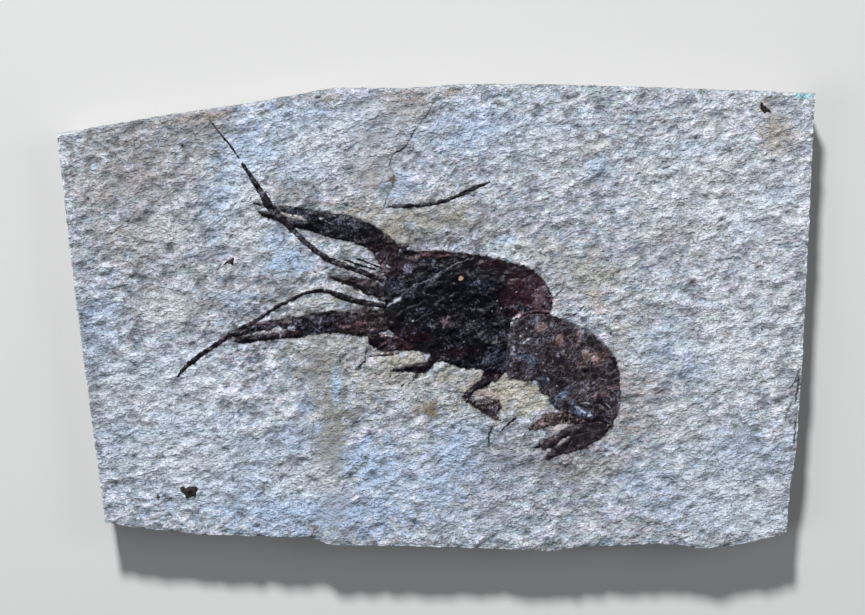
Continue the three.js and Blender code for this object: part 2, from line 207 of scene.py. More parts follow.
def paintLines(x, y, lines, breakUp=0.5, wander=0.12):
    mask = np.zeros(x.shape)
    for width, strength, points in lines:
        run = np.array(points)
        low, high = run.min(0) - lineReach, run.max(0) + lineReach
        near = (x > low[0]) & (x < high[0]) & (y > low[1]) & (y < high[1])
        if not near.any():
            continue
        px, py = x[near], y[near]
        px = px + wander * lookUp(wobbleField, px + 40, py)
        py = py + wander * lookUp(wobbleField, px, py + 30)
        nearest = np.full(px.shape, 1e9)
        for a, b in zip(run, run[1:]):
            nearest = np.minimum(nearest, toStretch(px, py, a, b))
        gaps = 1 - breakUp * smooth(*gapRange, lookUp(raggedField, px * gapStretch, py * gapStretch))
        mask[near] = np.maximum(mask[near], strength * np.exp(-nearest / width ** 2) * gaps)
    return mask


# Materials

def hexToLinear(text):
    parts = [int(text[i:i + 2], 16) / 255 for i in (1, 3, 5)]
    return [p / 12.92 if p <= 0.04045 else ((p + 0.055) / 1.055) ** 2.4 for p in parts] + [1.0]


def addNode(tree, kind, inputs, **settings):  # an input is a value, a colour as hex or a socket
    node = tree.nodes.new("ShaderNode" + kind)
    for key, value in settings.items():
        setattr(node, key, value)
    for key, value in inputs.items() if isinstance(inputs, dict) else enumerate(inputs):
        if isinstance(value, bpy.types.NodeSocket):
            tree.links.new(value, node.inputs[key])
        else:
            node.inputs[key].default_value = hexToLinear(value) if isinstance(value, str) else value
    return node.outputs


def startMaterial(name, roughness, ior):
    material = bpy.data.materials.new(name)
    material.use_nodes = True
    tree = material.node_tree
    shader = tree.nodes["Principled BSDF"]
    shader.inputs["Roughness"].default_value = roughness
    shader.inputs["IOR"].default_value = ior
    return material, tree, shader, addNode(tree, "TexCoord", {})["Object"]


def layColours(tree, colour, layers):  # each layer is a share and a colour
    for share, shade in layers:
        colour = addNode(tree, "Mix", {0: share, 6: colour, 7: shade}, data_type="RGBA")[2]
    return colour


# Tuffaceous shale: fine ash mud, split along the bedding. It is matt and grainy, chalky where the ash
# is pure, with faint tints of clay and iron.
# Its colour also carries painted shade in the hollows of its relief, along its cracks and beside the shell,
# and a painted highlight along the rim of its face.
shaleLook = {
    "roughness": 0.92,
    "ior": 1.5,
    "pale": "#e1e9f8",
    "dull": "#808793",
    "mud": "#78757a",
    "sideLight": "#b9bcbd",
    "sideDark": "#7f7a72",
    "patchMm": (9.0, 3),  # tone patches: size and detail
    "mottleMm": (2.4, 4),
    "chipMm": (0.95, 3),
    "grainMm": (0.42, 2),  # real grains of ash are under 0.1 mm, drawn at the coarseness that shows
    "mottleHollowShade": 0.58,  # painted shade: how far the low spots of the mottles, the hollows of their bump, dull the pale rock
    "patchTone": 0.3,
    "tintSpread": 0.36,  # faint changes of hue from mottle to mottle
    "flakeMm": 2.0,  # small flakes of bluer ash, and of browner clay
    "flakeShare": 0.6,
    "ledgeRough": 2.0,  # how far the chips push the ledges about
    "ledgeDepth": 0.2,
    "mottleDepth": 2.6,
    "chipDepth": 0.65,
    "grainDepth": 0.14,
    "layerMm": 0.55,  # bedding seen on the broken edges
    "mudShare": 0.34,
    "smearCalm": 0.5,  # smears of mud lie smoother than the split rock
}
# Tints in the order that they are laid: colour, what breaks them up, and how much
shaleTints = {
    "dusk": ("#7a797d", "patchMm", 0.5),
    "tan": ("#a89d94", "mottleMm", 1.2),
    "beige": ("#bcb5a1", "mottleMm", 0.9),
    "olive": ("#8b9089", "mottleMm", 1.1),
    "mauve": ("#a3959e", "mottleMm", 1.2),
    "clay": ("#bfb1b2", "chipMm", 0.4),
    "sky": ("#b2cdf1", "mottleMm", 1.3),
    "ochre": ("#7f6747", "chipMm", 0.4),
    # painted shade in the cracks, and the black of the specks
    "crackShadeAndSpecks": ("#1d1b1d", "chipMm", 0.4),
    "mint": ("#9fd0e0", "mottleMm", 0.5),
    # pale chalky patches, and the painted highlight along the rim of the face
    "rim": ("#e4ebf3", "mottleMm", 0.8),
    # dark stains, and the painted shade beside the shell
    "stainAndShade": ("#57504f", "chipMm", 1.6),
    "residue": ("#1c191d", "grainMm", 0.0),
}


def makeShale(look):
    material, tree, shader, place = startMaterial("tuffaceous shale", look["roughness"], look["ior"])
    streaks = addNode(tree, "Mapping", {"Vector": place, "Scale": (rockRelief["stretch"], 1, 1),
        "Rotation": (0, 0, math.radians(rockRelief["turn"]))}, vector_type="TEXTURE")[0]
    patterns = {}
    for size in ("patchMm", "mottleMm", "chipMm", "grainMm"):
        width, detail = look[size]
        patterns[size] = addNode(tree, "TexNoise", {"Vector": streaks, "Scale": 1 / (width * mm),
            "Detail": detail, "Roughness": 0.62})
    patches, mottles, chips, grains = [pattern[0] for pattern in patterns.values()]
    marks = {}
    for mark in ("level", "paintedHollowShade", "smear", "side", *shaleTints):
        marks[mark] = addNode(tree, "Attribute", {}, attribute_name=mark)["Fac"]

    level = addNode(tree, "Math", [chips, look["ledgeRough"], marks["level"]], operation="MULTIPLY_ADD")[0]
    step = addNode(tree, "Math", [level], operation="FRACT")[0]
    tread = addNode(tree, "MapRange", [step, 0.3, 0.7], interpolation_type="SMOOTHSTEP")[0]
    ledges = addNode(tree, "Math", [tread, step], operation="SUBTRACT")[0]

    broad = addNode(tree, "MapRange", [patches, 0.32, 0.68])[0]
    # Painted shade: the low spots of the mottles are the hollows of their bump, and they are dulled, as are
    # the hollows that the mesh marks.
    fine = addNode(tree, "MapRange", [mottles, 0.65, 0.35])[0]
    tone = addNode(tree, "Math", [fine, look["mottleHollowShade"], marks["paintedHollowShade"]], operation="MULTIPLY_ADD")[0]
    tone = addNode(tree, "Math", [broad, look["patchTone"], tone], operation="MULTIPLY_ADD",
        use_clamp=True)[0]
    colour = layColours(tree, look["pale"], [(tone, look["dull"])])
    hues = addNode(tree, "VectorMath", [patterns["mottleMm"]["Color"], [look["tintSpread"]] * 3,
        [1 - look["tintSpread"] / 2] * 3], operation="MULTIPLY_ADD")[0]
    colour = addNode(tree, "VectorMath", [colour, hues], operation="MULTIPLY")[0]
    flakes = addNode(tree, "TexNoise", {"Vector": place, "Scale": 1 / (look["flakeMm"] * mm), "Detail": 3,
        "Roughness": 0.55, "Distortion": 0.4})[0]
    layers = []
    for tint, least, most in (("sky", 0.56, 0.68), ("mauve", 0.44, 0.32)):
        share = addNode(tree, "MapRange", [flakes, least, most, 0, look["flakeShare"]])[0]
        layers.append((share, shaleTints[tint][0]))
    for tint, (shade, size, spread) in shaleTints.items():  # shows where its mark and its pattern agree
        cut = addNode(tree, "Math", [patterns[size][0], 4 * spread, 1 - 2 * spread],
            operation="MULTIPLY_ADD", use_clamp=True)[0]
        share = addNode(tree, "Math", [marks[tint], cut], operation="MULTIPLY", use_clamp=True)[0]
        layers.append((share, shade))
    muddy = addNode(tree, "Math", [marks["smear"], look["mudShare"]], operation="MULTIPLY")[0]
    layers.append((muddy, look["mud"]))
    bedding = addNode(tree, "Mapping", {"Vector": place, "Scale": (12, 12, 1)}, vector_type="TEXTURE")[0]
    beds = addNode(tree, "TexNoise", {"Vector": bedding, "Scale": 1 / (look["layerMm"] * mm), "Detail": 4,
        "Roughness": 0.6})[0]
    bedShare = addNode(tree, "MapRange", [beds, 0.35, 0.65])[0]
    layers.append((marks["side"], layColours(tree, look["sideLight"], [(bedShare, look["sideDark"])])))
    colour = layColours(tree, colour, layers)
    # Painted light and shade: the grain and the mottles lighten the colour on the crests of their bump and
    # darken it in its hollows.
    for pattern, least, most in ((grains, 0.82, 1.18), (mottles, 0.89, 1.11)):
        reliefShade = addNode(tree, "MapRange", [pattern, 0.3, 0.7, least, most])[0]
        colour = addNode(tree, "VectorMath", {0: colour, "Scale": reliefShade}, operation="SCALE")[0]
    tree.links.new(colour, shader.inputs["Base Color"])

    strength = addNode(tree, "Math", [marks["smear"], -look["smearCalm"], 1], operation="MULTIPLY_ADD")[0]
    bump = {}
    for height, depth in ((ledges, "ledgeDepth"), (mottles, "mottleDepth"), (chips, "chipDepth"),
            (grains, "grainDepth")):
        bump["Normal"] = addNode(tree, "Bump", {"Height": height, "Strength": strength,
            "Distance": look[depth] * mm, **bump})[0]
    tree.links.new(bump["Normal"], shader.inputs["Normal"])
    return material


# Phosphatised cuticle: the animal's shell turned to a thin dark mineral film. It is nearly black with a
# low gloss, dusted with pale mineral bloom, and it lets the rust of the rock through where it is thin.
# Its pale flecks and strokes are partly painted glints, and its blue flecks a painted reflection.
cuticleLooks = {
    "black_cuticle": {"name": "phosphatised cuticle, thick", "deep": "#04040f", "veil": "#483f46",
        "rust": "#43242a", "roughness": 0.36},
    "brown_cuticle": {"name": "phosphatised cuticle, thin", "deep": "#0b060c", "veil": "#4c434d",
        "rust": "#3f2229", "roughness": 0.4},
}
bloomLook = {
    "ior": 1.5,
    "sheen": 0.18,  # specular level: the film is fine-grained and dusty
    # pale mineral bloom, whose finest flecks are also painted glints
    "bloom": "#898ca6",
    # pink mineral, with painted glints in places
    "blushAndGlint": "#b9929f",
    # pale chalky mineral, with painted glints in its specks and strokes
    "chalkAndGlint": "#cdd6e8",
    # painted reflection of blue light on the gloss, in specks
    "blueReflection": "#8098c4",
    "peach": "#dab39c",
    "bare": "#a89e98",
    "cloudMm": 2.2,  # clouds of bloom
    "crushMm": 0.9,
    "speckMm": 0.4,  # real crystals are finer, drawn at the size that shows
    "stretch": 1.25,  # along the wrinkles of the shell
    "turn": 28.0,
    "crushDust": 0.9,  # what the patterns weigh in the bloom, next to the specks; the specks are partly painted glints
    "cloudDust": 1.2,
    "dustStart": -1.65,
    "bloomDust": 0.35,  # more dust where the bloom is marked, less where the shell is jet black
    "jetDust": -0.25,
    "dustFall": 3.3,  # dust thins out this fast from its thickest spots
    "crushDepth": 0.12,
    "speckDepth": 0.05,
}


def makeCuticle(look):
    material, tree, shader, place = startMaterial(look["name"], look["roughness"], bloomLook["ior"])
    shader.inputs["Specular IOR Level"].default_value = bloomLook["sheen"]
    fibres = addNode(tree, "Mapping", {"Vector": place, "Scale": (bloomLook["stretch"], 1, 1),
        "Rotation": (0, 0, math.radians(bloomLook["turn"]))}, vector_type="TEXTURE")[0]
    clouds, crush, specks = [
        addNode(tree, "TexNoise", {"Vector": fibres, "Scale": 1 / (bloomLook[size] * mm), "Detail": detail,
            "Roughness": 0.65, "Distortion": bend})[0]
        for size, detail, bend in (("cloudMm", 4, 0.4), ("crushMm", 3, 1.0), ("speckMm", 2, 0.5))]
    marks = {}
    for mark in ("veil", "rust", "bloom", "blushAndGlint", "chalkAndGlint", "blueReflection", "peach", "jet", "bare"):
        marks[mark] = addNode(tree, "Attribute", {}, attribute_name=mark)["Fac"]

    def broken(mark, pattern, low, high):  # a mark's share, broken up by a pattern
        cut = addNode(tree, "MapRange", [pattern, low, high])[0]
        return addNode(tree, "Math", [cut, marks[mark]], operation="MULTIPLY", use_clamp=True)[0]

    # the finest specks in the bloom are painted glints
    weighed = specks
    for part, weight in ((clouds, "cloudDust"), (crush, "crushDust")):
        weighed = addNode(tree, "Math", [part, bloomLook[weight], weighed], operation="MULTIPLY_ADD")[0]
    start = bloomLook["dustStart"]
    for mark in ("bloom", "jet"):
        start = addNode(tree, "Math", [marks[mark], bloomLook[mark + "Dust"], start],
            operation="MULTIPLY_ADD")[0]
    bloomAndGlints = addNode(tree, "Math", [weighed, start], operation="ADD")[0]
    bloomAndGlints = addNode(tree, "MapRange", [bloomAndGlints, -0.17, 0.4])[0]
    bloomAndGlints = addNode(tree, "Math", [bloomAndGlints, bloomLook["dustFall"]], operation="POWER")[0]

    layers = [(broken("veil", crush, 0.25, 0.65), look["veil"]),
        (broken("rust", crush, 0.3, 0.65), look["rust"]), (bloomAndGlints, bloomLook["bloom"])]
    # the pink and pale specks are partly painted glints, and the blue specks a painted reflection
    for mark, pattern, low, high in (("bare", crush, 0.48, 0.7), ("blushAndGlint", crush, 0.38, 0.66),
            ("blueReflection", specks, 0.42, 0.62), ("peach", specks, 0.2, 0.4), ("chalkAndGlint", specks, 0.3, 0.5)):
        layers.append((broken(mark, pattern, low, high), bloomLook[mark]))
    tree.links.new(layColours(tree, look["deep"], layers), shader.inputs["Base Color"])
    gloss = addNode(tree, "MapRange", [clouds, 0.3, 0.7, look["roughness"] - 0.06,
        look["roughness"] + 0.08])[0]
    tree.links.new(gloss, shader.inputs["Roughness"])
    bump = {}
    for height, depth in ((crush, "crushDepth"), (specks, "speckDepth")):
        bump["Normal"] = addNode(tree, "Bump", {"Height": height, "Strength": 1,
            "Distance": bloomLook[depth] * mm, **bump})[0]
    tree.links.new(bump["Normal"], shader.inputs["Normal"])
    return material


# Carbonised plant crumb: dull brown-black, crumbly.
plantLook = {"roughness": 0.85, "ior": 1.5, "dark": "#15120f", "brown": "#2b2621", "crumbMm": 0.7,
    "crumbDepth": 0.15}


def makePlantCarbon(look):
    material, tree, shader, place = startMaterial("carbonised plant crumb", look["roughness"], look["ior"])
    crumbs = addNode(tree, "TexNoise", {"Vector": place, "Scale": 1 / (look["crumbMm"] * mm),
        "Detail": 4})[0]
    share = addNode(tree, "MapRange", [crumbs, 0.45, 0.65])[0]
    colour = layColours(tree, look["dark"], [(share, look["brown"])])
    tree.links.new(colour, shader.inputs["Base Color"])
    bumps = addNode(tree, "Bump", {"Height": crumbs, "Strength": 1, "Distance": look["crumbDepth"] * mm})[0]
    tree.links.new(bumps, shader.inputs["Normal"])
    return material


shale = makeShale(shaleLook)
finishes = {slot: makeCuticle(look) for slot, look in cuticleLooks.items()}
finishes["plant_carbon"] = makePlantCarbon(plantLook)
print("materials made")


def addPiece(name, points, faces, material, nodes, masks):
    mesh = bpy.data.meshes.new(name)
    mesh.from_pydata((np.asarray(points) * mm).tolist(), [], faces)
    mesh.polygons.foreach_set("use_smooth", np.ones(len(mesh.polygons), bool))
    for mark, values in masks.items():
        attribute = mesh.attributes.new(mark, "FLOAT", "POINT")
        attribute.data.foreach_set("value", np.asarray(values, np.float32))
    mesh.materials.append(material)
    mesh.update()
    piece = bpy.data.objects.new(name, mesh)
    bpy.context.scene.collection.objects.link(piece)
    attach(piece, "root")
    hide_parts(*nodes)


# The plate

plate = {
    "cells": (372, 228),  # of the face, along and across
    "backShare": 4,  # the back's cells are this many times larger
    "edgeRagged": (0.05, 0, 3),  # nicks of the rim: depth, and the distances in from it that they span
    "rimSpread": 6,  # points of the rim that its direction is steadied over
    "sideRagged": 0.35,
    "sideStart": 6,  # the side is ragged in full from this fraction of the way down: a sixth
    "sideLayers": 0.5,  # what the bedding and the breaks weigh in it, and what they have to pass
    "sideBreaks": 0.6,
    "sideFrom": 0.9,
    "bedStretch": (0.35, 1.6),  # the bedding drawn out along the side, and thin up it
    "breakStretch": 0.8,
    "footWorn": (0.35, 0.9, 0.1),  # worn lower rim: depth, start and length as shares of the way down
    "arris": (0.3, 0.9),  # worn rim of the face: depth and width
    "crackDepth": 0.14,
    # how dark the painted shade along the cracks is
    "crackShade": 0.5,
    "hollowDark": (0.14, 0.12),  # painted shade: how much darker the hollows of the lumps and of the grain are painted
    "hollowRange": (-0.6, 0.8),
    "ledgeGrain": 0.6,  # the grain's share in the height that the ledges follow
    "moat": (0.04, 0.05, 0.45),  # how far the rock stands back beside the shell, from and to this distance
    "sunk": (0.3, -0.5, 0.05),  # and below it
    "backRelief": (0.12, 0.5, 4),  # height, share of the waves in it, and how far in from the rim it grows
    "backTint": 0.5,  # how far the back has the tint of the sides
    "shadeTowardsClaws": (0.35, -60, 10),  # the painted shade in the hollows is deeper towards the claws, between these x
    "smearFill": 0.5,  # how far a smear of mud fills the relief
    "litRim": (0.8, 0.1, 0.5),  # painted highlight along the rim of the face, where it catches the light, but not along the shaded lower edge, under these y
    "litRimFrom": (-52, -44),
    "residueSoft": 0.1,  # how softly the dark residue below the shell ends
    "residueJoint": (0.7, 0.45),  # and how far it goes across joints: share and reach
    "shadeBesideShell": (0.6, 0.6),  # painted shade on the rock beside the shell: strength and width
    "rows": (0.05, 0.12),  # of the side, as shares of its height, at the face's own spacing
    "coarseRows": (0.2, 0.28, 0.36, 0.45, 0.54, 0.63, 0.72, 0.81, 0.9, 0.96, 1.0),
}
levelBase = 20  # keeps the levels that the ledges are cut at over 0
# Stains: x, y, the two radii, strength, and a turn in degrees where there is one
plateStains = {
    "dusk": [
        (-69, 30, 13, 6, 0.5), (-60, 21, 24, 9, 0.3), (-56, 5, 22, 9, 0.4), (-84, -14, 6, 18, 0.6),
        (-36, 8, 9, 7, 0.35), (-4, 21, 18, 4.5, 0.65, 5), (30, 10, 7, 5, 0.35, -40),
        (-26, -5.5, 9, 2.5, 0.35, 5), (44, -24, 8, 6, 0.25, 20), (-34, -28, 6, 5, 0.25),
        (25, -34.5, 17, 5, 0.65), (-56, 45, 9, 6, 0.7), (-73, 43, 12, 7, 0.45), (-34.5, 30.5, 5, 5, 0.7),
        (-18, 12, 5, 4, 0.35), (-72.5, -17, 6, 6, 0.35), (-23, -43, 2.4, 6, 0.7),
        (-21.5, -50, 3.5, 2.5, 0.6), (12.5, 21, 5, 4, 0.4), (-28.5, -11.5, 3.8, 4.7, 0.45),
        (-25.9, -19.3, 1.4, 3.8, 0.7), (-22.5, -23, 3, 1.4, 1)],
    "rim": [
        (-63, -18, 15, 8, 0.4), (-58, -34, 15, 7, 0.35), (72, 28, 17, 13, 0.45), (73, -44, 14, 6, 0.6),
        (80, 0, 8, 14, 0.35), (-30, -39, 8, 4, 0.5), (69.5, -6, 7, 12, 0.7), (-63.5, 20.5, 6, 4, 0.5),
        (-63.5, 2, 6, 4, 0.6), (20.5, 15.5, 3.5, 2.5, 0.5, -30), (60, -26, 6, 6, 0.45),
        (56, 32, 11, 9, 0.4), (50, 20, 5, 4, 0.4), (-44, 28, 5, 6, 0.6), (-44, 19, 5, 4, 0.5),
        (-28, 41, 8, 5, 0.45), (27, 40, 9, 5, 0.35), (70, 49, 5, 3.5, 0.5), (-6, -17.5, 4, 3, 0.3),
        (-26.5, -38.8, 6.5, 0.8, 0.8, 2)],
    "clay": [
        (-34, 24.3, 3.4, 1, 0.8, -14), (-39.4, -3.1, 2.6, 0.9, 0.7, 8), (29.4, -29.2, 1.8, 0.9, 0.9, 40),
        (29.6, -25.9, 3.4, 0.8, 0.8, 8), (43.9, -12, 1.2, 6, 0.6), (44.4, -4, 1.4, 2.6, 0.5, 25),
        (38, 3.4, 1.4, 3, 0.5, 40), (28.5, 3, 1.2, 1.4, 0.5), (-22, 12.5, 5, 1.2, 0.35, -30),
        (-17.5, 2.6, 3, 0.8, 0.4, -30), (1, -10, 5, 1, 0.4, -10), (12.3, -18.2, 3.4, 1.4, 0.7, -25)],
    "mint": [(88.2, 52.8, 2.6, 1.5, 1, -20)],
    "stainAndShade": [(-12.9, 10.2, 1.4, 2.1, 1), (-13.4, 7.2, 1, 1.2, 0.7), (-10.8, -8.2, 2.6, 0.6, 1, 8)],
    "tan": [
        (-7, 50, 7.5, 4.5, 0.9), (-14, 41, 8, 6, 0.6), (-14, 34, 6.5, 6, 0.55),
        (3.4, 53.4, 2.4, 1, 0.8, 20), (81, 43, 4, 4.8, 0.85), (-55.5, 47.5, 8.1, 1.2, 0.6, 8),
        (-75, 44.9, 9.5, 1.7, 0.35, 8), (-26.3, 51.8, 4, 1.2, 0.5), (-2.1, 53.9, 6.6, 0.9, 0.55),
        (78.3, 50.2, 2.1, 1.9, 0.6), (13.3, -46.9, 4.7, 2.6, 0.35), (35.3, 39.7, 7.1, 2.8, 0.3, 10),
        (66.2, 46.8, 5.2, 2.1, 0.3, 20), (53.1, 20.7, 5.9, 3.3, 0.15, 15), (-72.6, 35, 10.7, 6.6, 0.4, 10),
        (-80.9, 30.2, 6.2, 4.3, 0.4), (-70.2, 18.4, 9.5, 5.2, 0.35, 15), (-54.8, 35, 8.3, 4.7, 0.3, 10),
        (69.7, -36.2, 10.7, 3.8, 0.3, 12), (-19.2, 26.7, 7.1, 3.8, 0.3, 20),
        (48.4, 24.3, 2.8, 1.7, 0.35, 30), (-25, -30, 3.2, 6, 0.8), (-37, -35.5, 3.6, 1.8, 0.6, 20)],
    "beige": [
        (-8.1, -10.6, 7.1, 2.8, 0.7, 5), (14, -17.4, 9.9, 6.1, 0.7, 25), (21, -18.5, 6.5, 4.5, 0.8),
        (4.5, -12.9, 5.9, 2.1, 0.6, 10), (-15, 22, 10, 4, 0.5), (38, 9, 8, 5, 0.45, -30),
        (46, -8, 5, 10, 0.3), (43, -25, 8, 4, 0.2), (22, 17, 9, 3, 0.3, -10), (-20, -7, 8, 3, 0.3),
        (-21.6, 5.1, 5.2, 2.4, 0.35, 10), (36.5, -36.2, 7.1, 2.1, 0.25, 20), (-20.4, -6.5, 4.7, 2.4, 0.3),
        (-1.4, -18.4, 5.2, 3.8, 0.3), (0, 25, 10, 4, 0.4), (-27, -6, 8, 12, 0.3), (-12, -14, 9, 5, 0.45)],
    "olive": [
        (-24.4, -29.1, 3.1, 17.8, 0.75), (-25.6, -45.7, 3.8, 8.1, 0.5), (-27.1, -10.6, 4.7, 4.3, 0.5),
        (-21.1, 15.5, 2.1, 2.1, 0.5), (-15.9, 42.8, 0.95, 1.2, 0.6, 30), (-10.9, 46.8, 3.6, 2.4, 0.25),
        (-1.4, -21.5, 2.2, 1.8, 0.8), (-28, -19.6, 1.9, 9.5, 0.3), (-21.4, -38.6, 1.2, 9.5, 0.3),
        (-22.5, -23, 3, 1.4, 0.6)],
    "ochre": [
        (-1.2, -21.6, 1.4, 1.5, 0.75), (-3.3, -21.7, 2.1, 1.2, 0.45), (69.2, -4.3, 1.2, 0.95, 0.95),
        (-28.9, -49.9, 1.2, 0.7, 0.7, 10), (-10.3, 32.6, 0.8, 1.5, 0.9), (0.2, -22.9, 1.2, 0.95, 0.4)],
    "sky": [
        (-47.7, 35, 5.2, 14.2, 0.6, -20), (-41.3, 39.7, 7.1, 5.2, 0.5, 10),
        (-32.3, 46.8, 9, 3.6, 0.45, 10), (-32.3, 36.2, 5.9, 3.8, 0.4), (-35.1, 13.2, 5.2, 3.3, 0.75),
        (-38.7, 18.4, 3.3, 2.4, 0.7), (-46.5, 4.1, 3.3, 2.4, 0.4), (-9, 31.2, 4.3, 3.3, 0.6),
        (4.5, -32.6, 5.2, 6.6, 0.7, 10), (0.9, -40.5, 6.2, 5.2, 0.6), (-23.7, -16, 0.95, 3.8, 0.8),
        (-30.8, -19.6, 1.2, 4.3, 0.5), (-28, -26.2, 1.2, 1.4, 0.7), (50.7, -7.7, 7.1, 4.3, 0.35, 10),
        (63.8, -11.3, 7.1, 4.7, 0.5), (72.1, -3, 6.2, 2.4, 0.5, 10), (-45.3, -37.4, 9.5, 5.2, 0.5, 20),
        (-34.6, -29.1, 6.2, 3.8, 0.45, 10), (-53.6, -43.3, 9.5, 3.3, 0.3), (38.9, 36.2, 3.3, 1.9, 0.6),
        (60.2, 39.7, 7.1, 2.4, 0.35), (81.6, 29, 4.3, 1.9, 0.55), (73.3, 21.9, 3.3, 3.3, 0.45),
        (17.5, 18.4, 2.8, 0.95, 0.8), (53.1, -38.6, 9.5, 4.3, 0.4, 10), (-75, -29.1, 6.2, 7.1, 0.3),
        (-28, -46, 24, 6, 0.75), (8, -48, 16, 4, 0.3), (68, -45, 15, 5, 0.75), (8, 45, 10, 6, 0.5),
        (-15, -36, 8, 6, 0.8), (-58, -26, 12, 6, 0.35), (8, -27, 5, 4, 0.5), (-80, -4, 5, 12, 0.4),
        (-66, -14, 12, 8, 0.3), (-44, -33, 12, 5, 0.4), (-56, -38, 20, 9, 0.25), (-14, 44, 20, 8, 0.25),
        (20, 44, 14, 6, 0.25), (-10, -38, 30, 8, 0.3), (72, -35, 14, 8, 0.4)],
    "mauve": [
        (48.4, -19.6, 9.5, 5.7, 0.3, 10), (57.9, 18.4, 11.9, 5.7, 0.25, 10),
        (29.4, -33.8, 7.1, 3.3, 0.35, 20), (62.6, -43.3, 11.9, 4.7, 0.25, 5), (10.4, -43.3, 7.1, 4.3, 0.3),
        (-22.6, -44, 2.6, 7, 0.7), (-21.5, -50, 3.5, 2.5, 0.6)],
}
# The gaps between the fingers are free of the dark residue and of the painted shade beside the shell
plateClean = [
    (-34, 24.3, 3.4, 0.8, 0.9, -14),
    (-39.4, -3.1, 2.6, 0.8, 0.8, 8),
    (28.4, -29.6, 1.6, 0.8, 0.6, 30)]
# Smears of fine mud
plateSmears = [
    (-28.5, -11.5, 3.8, 4.7, 0.9), (-25.9, -19.3, 1.4, 3.8, 0.9), (-22.5, -23, 3.2, 1.5, 0.9),
    (-24.9, -31.4, 3.9, 6.5, 1), (-24.4, -45.9, 3.1, 6.4, 1), (-15.5, 49.7, 4.9, 3.4, 0.5),
    (-16.4, 42.8, 2.8, 2.1, 0.9), (-15.9, 33.8, 4.6, 4.2, 0.9)]
# Loose bristles of the mouth that run on under the body: width, strength, points
plateStreaks = [
    (0.3, 1.0, [(-15.2, 12.7), (-13.8, 12.1), (-12.6, 11.4)]),
    (0.3, 1.0, [(-15.6, 11.8), (-14.2, 11.2), (-12.8, 10.6)]),
    (0.22, 0.8, [(-18.6, 12.0), (-16, 10.9), (-13, 9.4)]),
    (0.18, 0.6, [(-16.2, 10.0), (-14.6, 9.4), (-13, 8.6)]),
]
# Hairline cracks and crumbled stretches of the right edge, laid out in the same way, drawn dark with
# painted shade
plateCracks = [
    (0.3, 0.8, [(-0.5, 51.1), (-2.4, 47.8), (-4.8, 44.7), (-7.4, 40.4)]),
    (0.26, 0.7, [(-10, 39), (-11.2, 36.6), (-10, 33.3), (-10.7, 30.7), (-12.3, 26.4), (-14.5, 24.1)]),
    (0.26, 0.7, [(-79.7, 6.3), (-76.1, 7.2), (-72.1, 8.2)]),
    (0.26, 0.9, [(1.9, 16.9), (2.8, 18.1), (3.8, 19.3)]),
    (0.28, 0.9, [(27.5, 4.4), (28.7, 5.6), (30.1, 6.7)]),
    (0.26, 0.7, [(31.9, -0.4), (33, 0.8), (34.2, 1.9), (35.6, 3.4)]),
    (0.34, 1.0, [(-16.4, -7), (-16.6, -8.4), (-16.9, -10.1), (-18, -11.5), (-19.2, -12.5)]),
    (0.3, 1.0, [(-22.8, -9.6), (-22.5, -11.5)]),
    (0.32, 1.0, [(13.3, -25.7), (12.6, -27.6), (12.3, -31)]),
    (0.3, 0.9, [(6.4, -26), (5.2, -27.2)]),
    (0.36, 1.0, [(-4.5, -13.4), (-5.2, -14.4), (-6.4, -15.9)]),
    (0.4, 1.0, [(-7.5, -15.5), (-8.4, -16.6)]),
    (0.24, 0.6, [(-10.4, 18.4), (-9, 17.7), (-6.9, 16.7)]),
    (0.24, 0.6, [(11.8, 23.1), (13.3, 25), (14.5, 26.9)]),
    (0.24, 0.6, [(51.9, 35), (55, 35.9), (58.8, 37.3)]),
    (0.24, 0.6, [(29.4, 18.4), (33, 20.3), (37, 21.2)]),
    (0.44, 1.0, [(-7.1, 41), (-8.4, 39.5), (-10, 39)]),
    (0.3, 0.7, [(86.4, -12.2), (84.6, -15.6), (83.8, -17)]),
    (0.4, 0.8, [(85.9, -14), (85.7, -17), (85.2, -20.5)]),
    (0.3, 0.6, [(85, -19), (83.2, -22), (82.9, -25)]),
    (0.4, 0.75, [(85.3, -24), (85.1, -27), (84.9, -30)]),
    (0.3, 1.0, [(-50.9, 12.9), (-51.5, 12), (-52.2, 10.9)]),
    (0.34, 0.8, [(-49.3, 18.8), (-48.3, 19.8)]),
    (0.7, 1.0, [(77.1, -2.3), (77.3, -3.1)]),  # and a few black specks
    (0.6, 0.9, [(-60.5, 40.9), (-60, 40.5)]),
    (0.6, 0.9, [(-82.8, 28.4), (-82.3, 27.9)]),
    (0.6, 0.9, [(41.1, -3.5), (41.6, -4)]),
    (0.7, 0.9, [(-15.5, 43.3), (-16.3, 42.2)]),
    (0.7, 0.9, [(-66, -41.9), (-65.8, -43.3)]),
    (0.5, 0.8, [(-28.6, 52.2), (-27.4, 52.3)]),
]


def plateSides():  # the plate's outline as four runs: bottom and top left to right, left and right upwards
    mesh = frame["nodes"]["shale_plate"].data
    corners = np.array([v.co for v in mesh.vertices]) / mm
    widest = {tuple(np.round(c[:2], 3)) for c in corners if 1 < c[2] < 9.9}
    rim = np.array(sorted(widest, key=lambda p: math.atan2(p[1], p[0])))
    ends = [int(np.argmax(rim @ np.array(way))) for way in ((-1, -1), (1, -1), (1, 1), (-1, 1))]
    runs = []
    for a, b in zip(ends, ends[1:] + ends[:1]):
        count = (b - a) % len(rim)
        runs.append(rim[[(a + k) % len(rim) for k in range(count + 1)]])
    return runs[0], runs[2][::-1], runs[3][::-1], runs[1], rim


def resample(run, count):  # count even steps along a run
    lengths = np.r_[0, np.cumsum(np.hypot(*np.diff(run, axis=0).T))]
    at = np.linspace(0, lengths[-1], count + 1)
    return np.c_[np.interp(at, lengths, run[:, 0]), np.interp(at, lengths, run[:, 1])]


